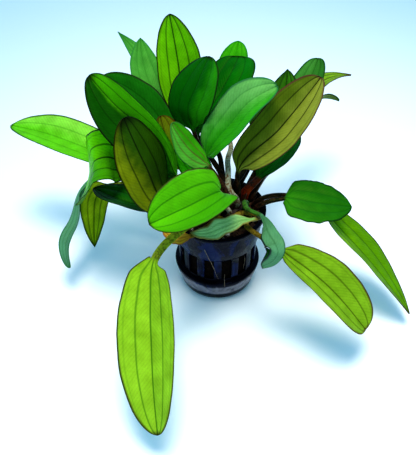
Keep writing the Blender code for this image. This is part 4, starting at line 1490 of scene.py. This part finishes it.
@dataclass
class Leaf:
    """One leaf, whose midrib runs from the rhizome through the points of petiole and blade to the tip."""

    name: str
    kind: LeafKind
    tone: StalkTone
    slot: str
    ring: str  # ring of the rhizome that carries it
    bearing: float  # degrees round the rhizome, 0 is +X and 90 is the back
    stalk: tuple
    blade: tuple
    width: float
    roll: tuple = (0.0, 0.0)  # turn about the midrib at collar and tip, degrees
    fold: tuple = (14.0, 14.0)  # rise of the left and the right half, degrees
    curl: float = 12.0  # further rise from the midrib to the edge, degrees
    shape: tuple = (0.62, 0.72)  # outline powers at the base and at the tip
    lobes: tuple = (0.0, 0.0)  # how far the left and the right lobe reach back past the collar
    heading: float | None = None  # bearing that the blade runs to, if not that of collar to tip
    strap: float = 1.0  # width of the petiole over its depth
    wave: float = 1.2  # height of the waves at the edge
    ripple: float = 0.03  # share of the half width by which the outline swells and narrows
    torn: float = 0.0  # twice the share of the half width that the dents of a torn edge take
    root_radius: float = 1.65  # of the petiole at the rhizome
    collar_radius: float = 1.25  # and where the blade starts
    thickness: float = 0.6
    keel: float = 0.9  # how far the midrib stands out below
    groove: float = 0.35  # and how deep it lies above
    quilt: float = 0.25  # swell of the blade between two veins

    RINGS = {"centre": 0.0, "inner": 4.0, "middle": 8.0, "outer": 12.0}
    GAP = 0.35  # clearance between a petiole and the rhizome
    ROOT_RISE = 4.0  # from there to the midrib's second point

    def roots(self, rhizome: Rhizome) -> list[tuple]:
        """First two points of the midrib, just off the rhizome and further along its normal.

        Args:
            rhizome: Rhizome that carries the leaf.

        Returns:
            Two places in millimetres.
        """
        radius, bearing, step = self.RINGS[self.ring], math.radians(self.bearing), 0.1
        lean = math.atan((rhizome.height(radius) - rhizome.height(radius + step)) / step)
        points = []
        for rise in (self.GAP, self.GAP + self.ROOT_RISE):
            reach = radius + rise * math.sin(lean)
            points.append((rhizome.x + reach * math.cos(bearing), rhizome.y + reach * math.sin(bearing),
                           rhizome.height(radius) + rise * math.cos(lean)))
        return points

    def midrib(self, rhizome: Rhizome) -> bpy.types.Object:
        """Midrib as a Bezier curve whose handles follow the spacing of its points.

        Args:
            rhizome: Rhizome that carries the leaf.

        Returns:
            Curve object, not shown.
        """
        points = [*self.roots(rhizome), *self.stalk, *self.blade]
        place = np.array(points, float)
        spans = np.linalg.norm(np.diff(place, axis=0), axis=1)[:, None]
        slopes = np.diff(place, axis=0) / spans
        inner = (slopes[:-1] * spans[1:] + slopes[1:] * spans[:-1]) / (spans[:-1] + spans[1:])
        first, last = 1.5 * slopes[0] - 0.5 * inner[0], 1.5 * slopes[-1] - 0.5 * inner[-1]
        return bezier_path(f"{self.name}_midrib", points, np.vstack([first, inner, last]))

    def inputs(self) -> dict[str, float]:
        """Value of each size that the loft asks for.

        Returns:
            Metres, radians and plain shares by the names of the loft's inputs.
        """
        heading = self.heading
        if heading is None:
            collar, tip = self.blade[0], self.blade[-1]
            heading = math.degrees(math.atan2(tip[1] - collar[1], tip[0] - collar[0]))
        sizes = {"Width": self.width, "Lobe Left": self.lobes[0], "Lobe Right": self.lobes[1],
                 "Root Radius": self.root_radius, "Collar Radius": self.collar_radius, "Wave": self.wave,
                 "Thickness": self.thickness, "Keel": self.keel, "Groove": self.groove, "Quilt": self.quilt}
        angles = {"Fold Left": self.fold[0], "Fold Right": self.fold[1], "Curl": self.curl,
                  "Heading": heading, "Roll Start": self.roll[0], "Roll End": self.roll[1]}
        return {"Base Power": self.shape[0], "Tip Power": self.shape[1], "Strap": self.strap,
                "Ripple": self.ripple, "Torn": self.torn,
                **{name: size * MM for name, size in sizes.items()},
                **{name: math.radians(angle) for name, angle in angles.items()}}

    def build(self, loft: LeafLoft, rhizome: Rhizome, seed: float) -> bpy.types.Object:
        """Grow the leaf and put it on its body.

        Args:
            loft: Tree that lofts a leaf.
            rhizome: Rhizome that carries it.
            seed: Start of its random edge.

        Returns:
            The leaf, standing for its CAD node.
        """
        piece = grow(f"sword_{self.name}", self.midrib(rhizome), loft.tree, {
            **self.inputs(), "Collar Point": 2 + len(self.stalk), "Seed": seed,
            "Material": leaf_material(self.kind, self.tone)})
        settle(piece, f"leaf_{self.slot}", f"leaf_{self.name}")
        return piece


LEAVES = (
    Leaf("front_hanging", LeafKind.HANGING, StalkTone.OLIVE, "bright", "outer", 229, ((-18, -26, 61),),
         ((-31.5, -43.5, 57.5), (-33, -66, 49.5), (-32, -84, 41), (-30.5, -103, 29.5), (-28.5, -117.5, 16.5)),
         33, roll=(-4, -6), fold=(36, -4), shape=(0.52, 0.56), lobes=(0, 5), strap=1.7),
    Leaf("front_oval", LeafKind.OVAL, StalkTone.WHITISH, "green", "middle", 266, ((1, -9, 65),),
         ((1, -15, 76), (-17, -31, 79.5), (-33.5, -41.5, 78.5)), 33, roll=(16, 30), fold=(25, 29),
         shape=(0.42, 0.45), lobes=(8, 5)),
    Leaf("left_bronze", LeafKind.BRONZE, StalkTone.BLACK, "bronze", "middle", 240, (),
         ((-25.5, -10, 62.5), (-36.5, -11.5, 91), (-46, -5.5, 115)), 32, roll=(23, 23), fold=(-12, -12),
         shape=(0.56, 0.55)),
    Leaf("left_folded", LeafKind.FOLDED, StalkTone.GREEN, "dark", "middle", 214, (),
         ((-20, 7.5, 64.5), (-31, 13.5, 87.5), (-52, 21.5, 102.5), (-67, 32.5, 114.5)), 38, roll=(56, -2),
         fold=(-4, 78), shape=(0.59, 0.63)),
    Leaf("left_shadow", LeafKind.SHADOW, StalkTone.BROWN, "dark", "outer", 135, (),
         ((-24.5, 31, 66.5), (-44.5, 44.5, 83.5), (-66, 51.5, 99.5)), 32, roll=(20, 20), shape=(0.6, 0.5)),
    Leaf("far_left", LeafKind.FAR, StalkTone.GREEN, "bright", "outer", 154, ((-20, 16.5, 58),),
         ((-50.5, 30.5, 57), (-76.5, 43, 60), (-98, 51.5, 63), (-121.5, 60.5, 62.5)), 28.5, roll=(8, 8),
         shape=(0.55, 0.62)),
    Leaf("left_bent", LeafKind.BENT, StalkTone.GREEN, "green", "middle", 188, ((-16, 7, 61.2),),
         ((-38, 14.5, 65), (-53, 12, 75.5), (-59.5, 9, 79.5), (-64, 8, 78.5), (-66.5, 9, 73.5),
          (-68, 9.5, 67), (-70.5, 8.5, 57.5), (-75.5, 7, 48.5)), 36, roll=(44, -22), fold=(0, 8),
         shape=(0.85, 0.5), heading=180),
    Leaf("left_low", LeafKind.SHADOW, StalkTone.BROWN, "dark", "outer", 209, (),
         ((-32, -6, 56.5), (-50, -3.5, 60), (-67, 6, 60.5)), 23, roll=(-10, -10)),
    Leaf("left_hanging_olive", LeafKind.HANGING_OLIVE, StalkTone.OLIVE, "olive", "outer", 171,
         ((-24, 13, 53.5),), ((-57.5, 25, 47.5), (-65, 26.5, 44.5), (-70, 24.5, 37.5), (-71.5, 18, 26.5),
                              (-71.5, 9, 13)), 17, shape=(0.62, 0.9), heading=265),
    Leaf("left_hanging_grey", LeafKind.GREY, StalkTone.GREEN, "pale", "outer", 191,
         ((-30.5, 11, 57), (-48, 18.5, 59)),
         ((-63.5, 23, 56.5), (-76.5, 21.5, 44.5), (-79.5, 7, 35), (-84.5, -4, 28), (-82.5, -13, 18.5)), 12,
         roll=(-60, 0), shape=(0.6, 0.45), heading=230),
    Leaf("top_bright", LeafKind.TOP, StalkTone.BROWN, "bright", "inner", 115, (),
         ((-15.5, 50.5, 72.5), (-20, 61.5, 85.5), (-22.5, 73, 98.5), (-27.5, 94, 116.5)), 27.5, fold=(11, 11),
         shape=(0.52, 0.65)),
    Leaf("top_dark", LeafKind.DARK, StalkTone.BLACK, "dark", "inner", 168, ((-6, 18, 67),),
         ((-13, 26.5, 83.5), (-16, 29.5, 95), (-11, 34, 108), (-4.5, 43, 119.5)), 29, roll=(4, 16),
         fold=(-8, -2), shape=(0.42, 0.45)),
    Leaf("back_pale", LeafKind.BACK, StalkTone.GREEN, "pale", "middle", 135, ((-10, 35.5, 62.5),),
         ((-27.5, 53.5, 72.5), (-41.5, 80, 86), (-46, 103, 96)), 22, shape=(0.55, 0.8)),
    Leaf("back_point", LeafKind.BACK, StalkTone.GREEN, "green", "outer", 116, ((-9, 33, 57),),
         ((-27.5, 70, 64), (-42.5, 100, 78), (-62, 125.5, 87.5)), 18.5, shape=(0.5, 1.0)),
    Leaf("back_tip", LeafKind.TIP, StalkTone.WHITISH, "green", "inner", 320,
         ((6, 0.5, 64.5), (5.5, 10.5, 69.5), (5.5, 21, 69), (7.5, 32.5, 68)),
         ((2, 60, 68), (8.5, 85.5, 80.5), (13.5, 109, 90.5)), 20, shape=(0.6, 0.55)),
    Leaf("top_right_dark", LeafKind.LEAFY, StalkTone.BLACK, "dark", "middle", 108,
         ((2.5, 17, 63), (0, 25.5, 70.5)), ((-10.5, 31.5, 75.5), (2, 52, 92), (9, 63, 100), (12, 71, 102.5)),
         29, roll=(4.5, 4.5), fold=(-4, -3), shape=(0.62, 0.31)),
    Leaf("centre_pale", LeafKind.PALE, StalkTone.BROWN, "pale", "centre", 0, (),
         ((-6, 15, 73), (-3, 15.5, 82), (6.5, 17, 95.5), (16.5, 18.5, 108.5), (30, 21, 115.5)), 26,
         roll=(-21, -24), fold=(16, 15), shape=(0.6, 0.54)),
    Leaf("right_bronze", LeafKind.OLIVE, StalkTone.BLACK, "olive", "inner", 28, (),
         ((10.5, 8.5, 69), (32, 17, 92), (54, 37, 110.5)), 29.5, roll=(-41, -14), fold=(30, 25),
         shape=(0.6, 0.57)),
    Leaf("right_back_round", LeafKind.BACK_ROUND, StalkTone.BLACK, "pale", "outer", 70, ((16.5, 25, 57.5),),
         ((26, 54.5, 69.5), (48, 72.5, 74), (61.5, 99, 84.5)), 20, shape=(0.6, 0.45)),
    Leaf("right_back_olive", LeafKind.DEEP_OLIVE, StalkTone.BLACK, "bronze", "middle", 80,
         ((14.5, 20.5, 61),), ((19, 47.5, 69), (37, 65, 76.5), (42, 87, 84.5)), 21, shape=(0.6, 0.83)),
    Leaf("right_back_point", LeafKind.LOW, StalkTone.BROWN, "bright", "outer", 50, ((20.5, 22, 57.5),),
         ((40.5, 59, 62), (55.5, 86, 69), (69, 100, 69.5), (85.5, 111, 65)), 15.5, shape=(0.6, 0.8)),
    Leaf("right_back_low", LeafKind.HANGING_OLIVE, StalkTone.BROWN, "olive", "outer", 30,
         ((24, 17, 57), (33, 41, 48.5)), ((39.5, 60.5, 50.5), (54.5, 85, 58), (66.5, 91, 61.5), (76, 90, 60)),
         16, roll=(35, 35), shape=(0.6, 0.5)),
    Leaf("right_dark", LeafKind.LEAFY, StalkTone.RED, "dark", "middle", 35, (),
         ((22, 14.5, 60.5), (33.5, 27.5, 65.5), (46, 43, 70)), 24, roll=(11, 11), fold=(14, 13),
         shape=(0.64, 0.78), strap=2.0),
    Leaf("right_round", LeafKind.ROUND, StalkTone.BLACK, "dark", "outer", 345, (),
         ((35.5, -2, 60.5), (52.5, -5, 60), (71, -5.5, 57.5)), 27, roll=(-17, -17), fold=(-5, 1),
         shape=(0.37, 0.58), lobes=(1, 3), ripple=0.1),
    Leaf("far_right", LeafKind.FAR_RIGHT, StalkTone.BLACK, "bright", "outer", 5, ((36, 5, 57),),
         ((55.5, 1.5, 50), (68.5, -6.5, 40), (85, -18, 26), (104, -38.5, 9)), 29, roll=(17, 23), fold=(8, 13),
         shape=(0.57, 0.82)),
    Leaf("right_low", LeafKind.LOW, StalkTone.TAN, "bright", "outer", 312,
         ((14.5, -16.5, 55.5), (23, -26, 54.5)), ((30, -31.5, 53), (54.5, -47, 42), (75, -60.5, 22.5)), 29,
         roll=(-6, -6), fold=(18, 21), shape=(0.6, 0.41)),
    Leaf("right_curl", LeafKind.CURL, StalkTone.GREEN, "pale", "middle", 335,
         ((14, -6.5, 61.5), (15, -12.5, 62.5)),
         ((21.5, -18.5, 63.5), (24.5, -23.5, 65.5), (28.5, -32, 65.5), (32, -38, 63), (32, -42.5, 60),
          (28, -45.5, 55.5), (21.5, -45.5, 52.5)), 19.5, roll=(35, -25), fold=(58, 52), shape=(0.6, 0.4),
         heading=180, wave=0.6),
    Leaf("rim_pale", LeafKind.RIM, StalkTone.TAN, "pale", "outer", 267,
         ((12.5, -10.5, 57.6), (18, -12, 58.6), (21.5, -15, 59.2)),
         ((19, -18.5, 61), (10.5, -20.5, 61), (2, -23.5, 59.5), (-7, -26.5, 58), (-14.5, -26, 58.5)), 12,
         roll=(0, 40), fold=(4, 4), shape=(0.9, 0.9), wave=1.5, ripple=0.1, torn=0.55),
    Leaf("rim_yellow", LeafKind.DRY, StalkTone.TAN, "dry", "outer", 248, (),
         ((-14.5, -24.5, 54.5), (-22, -26, 54.5), (-28.5, -25, 58)), 11, roll=(20, 20), shape=(0.7, 0.7),
         torn=0.4),
    Leaf("centre_small", LeafKind.SMALL, StalkTone.BROWN, "pale", "inner", 268, (),
         ((-5, 0.5, 80.5), (-15.5, -1, 93.5), (-23.5, 0, 107.5)), 20, roll=(18, 18), fold=(-6, -6),
         shape=(0.7, 0.58)),
    Leaf("centre_green", LeafKind.MILD, StalkTone.GREEN, "green", "inner", 221, (),
         ((-5, 3.5, 68), (-14.9, 5.2, 81), (-21.4, 8.7, 91)), 17, roll=(48, 48)),
    Leaf("centre_bronze", LeafKind.YOUNG, StalkTone.BROWN, "bronze", "middle", 162, (),
         ((-18, 17.5, 64), (-27, 22, 80.5), (-31, 28, 92.5)), 20, shape=(0.6, 0.45)),
)


# ---- studio

@dataclass
class Studio:
    """Plain pale floor, soft light from above and the camera."""

    floor_side: float = 4000.0
    floor_colour: str = "#F2F8FC"
    paper_grain: float = 3.0
    lamp_place: tuple = (10.0, -40.0, 900.0)
    lamp_aim: tuple = (20.0, -20.0, 0.0)
    lamp_side: float = 500.0
    lamp_watts: float = 0.78
    lamp_colour: str = "#FFF4E4"
    spread: float = 40.0  # opening of the lamp's grid, degrees, so that the floor falls off to its corners
    sky_colour: str = "#A6DAFF"
    sky_strength: float = 0.9
    camera_place: tuple = (-5.3, -307.8, 329.4)
    camera_tilt: float = 46.5  # degrees from straight down
    focal: float = 60.53  # for a sensor 36 mm along the picture's long side

    def floor(self) -> None:
        """Seamless pale paper with a faint grain."""
        # matt paper, nearly even and with no highlight
        material, tree, shader = new_material("pale_backdrop_paper")
        add = partial(add_node, tree)
        place = add("ShaderNodeTexCoord").outputs["Object"]
        grain = add(NOISE, {"Vector": place, "Scale": PER_MM / self.paper_grain, "Detail": 3.0})
        tint = add(RANGE, {"Value": grain, "To Min": 0.985, "To Max": 1.0})
        colour = add(MIX, {"Factor": 1.0, "A": linear(self.floor_colour), "B": tint}, data_type="RGBA",
                     blend_type="MULTIPLY")
        tree.links.new(colour.outputs[2], shader.inputs["Base Color"])
        shader.inputs["Roughness"].default_value = 0.75
        bm = bmesh.new()
        bmesh.ops.create_grid(bm, x_segments=1, y_segments=1, size=0.5 * self.floor_side * MM)
        floor = mesh_object("backdrop_floor", bm, material)

    def light(self) -> None:
        """Square soft light overhead, and the pale blue light of the room."""
        data = bpy.data.lights.new("overhead_softbox", "AREA")
        data.shape = "SQUARE"
        data.size = self.lamp_side * MM
        data.energy = self.lamp_watts
        data.spread = math.radians(self.spread)
        data.color = linear(self.lamp_colour)[:3]
        lamp = bpy.data.objects.new("overhead_softbox", data)
        place, aim = Vector(self.lamp_place), Vector(self.lamp_aim)
        lamp.location = place * MM
        lamp.rotation_euler = (place - aim).to_track_quat("Z", "Y").to_euler()
        bpy.context.scene.collection.objects.link(lamp)
        world = bpy.data.worlds.new("soft_room_light")
        world.use_nodes = True
        sky = world.node_tree.nodes["Background"]
        sky.inputs["Color"].default_value = linear(self.sky_colour)
        sky.inputs["Strength"].default_value = self.sky_strength
        bpy.context.scene.world = world

    def camera(self) -> None:
        """Camera where the photo was taken from, and its view transform."""
        scene = bpy.context.scene
        scene.view_settings.view_transform = "Standard"
        scene.view_settings.look = "Medium High Contrast"
        lens = bpy.data.cameras.new("photo_camera")
        lens.lens = self.focal
        lens.sensor_width = 36.0
        lens.clip_start = 0.01
        lens.clip_end = 20.0
        camera = bpy.data.objects.new("photo_camera", lens)
        camera.location = Vector(self.camera_place) * MM
        camera.rotation_euler = Euler((math.radians(self.camera_tilt), 0.0, 0.0))
        scene.collection.objects.link(camera)
        scene.camera = camera

    def build(self) -> None:
        """Set floor, light and camera."""
        self.floor()
        self.light()
        self.camera()


def main() -> None:
    """Build the studio, then every piece of the plant."""
    Studio().build()
    NetPot().build()
    GrowingMedium().build()
    rhizome = Rhizome()
    rhizome.build()
    FineRoots().build()
    loft = LeafLoft()
    for number, leaf in enumerate(LEAVES):
        leaf.build(loft, rhizome, 1.7 * number)


if __name__ == "__main__":
    main()
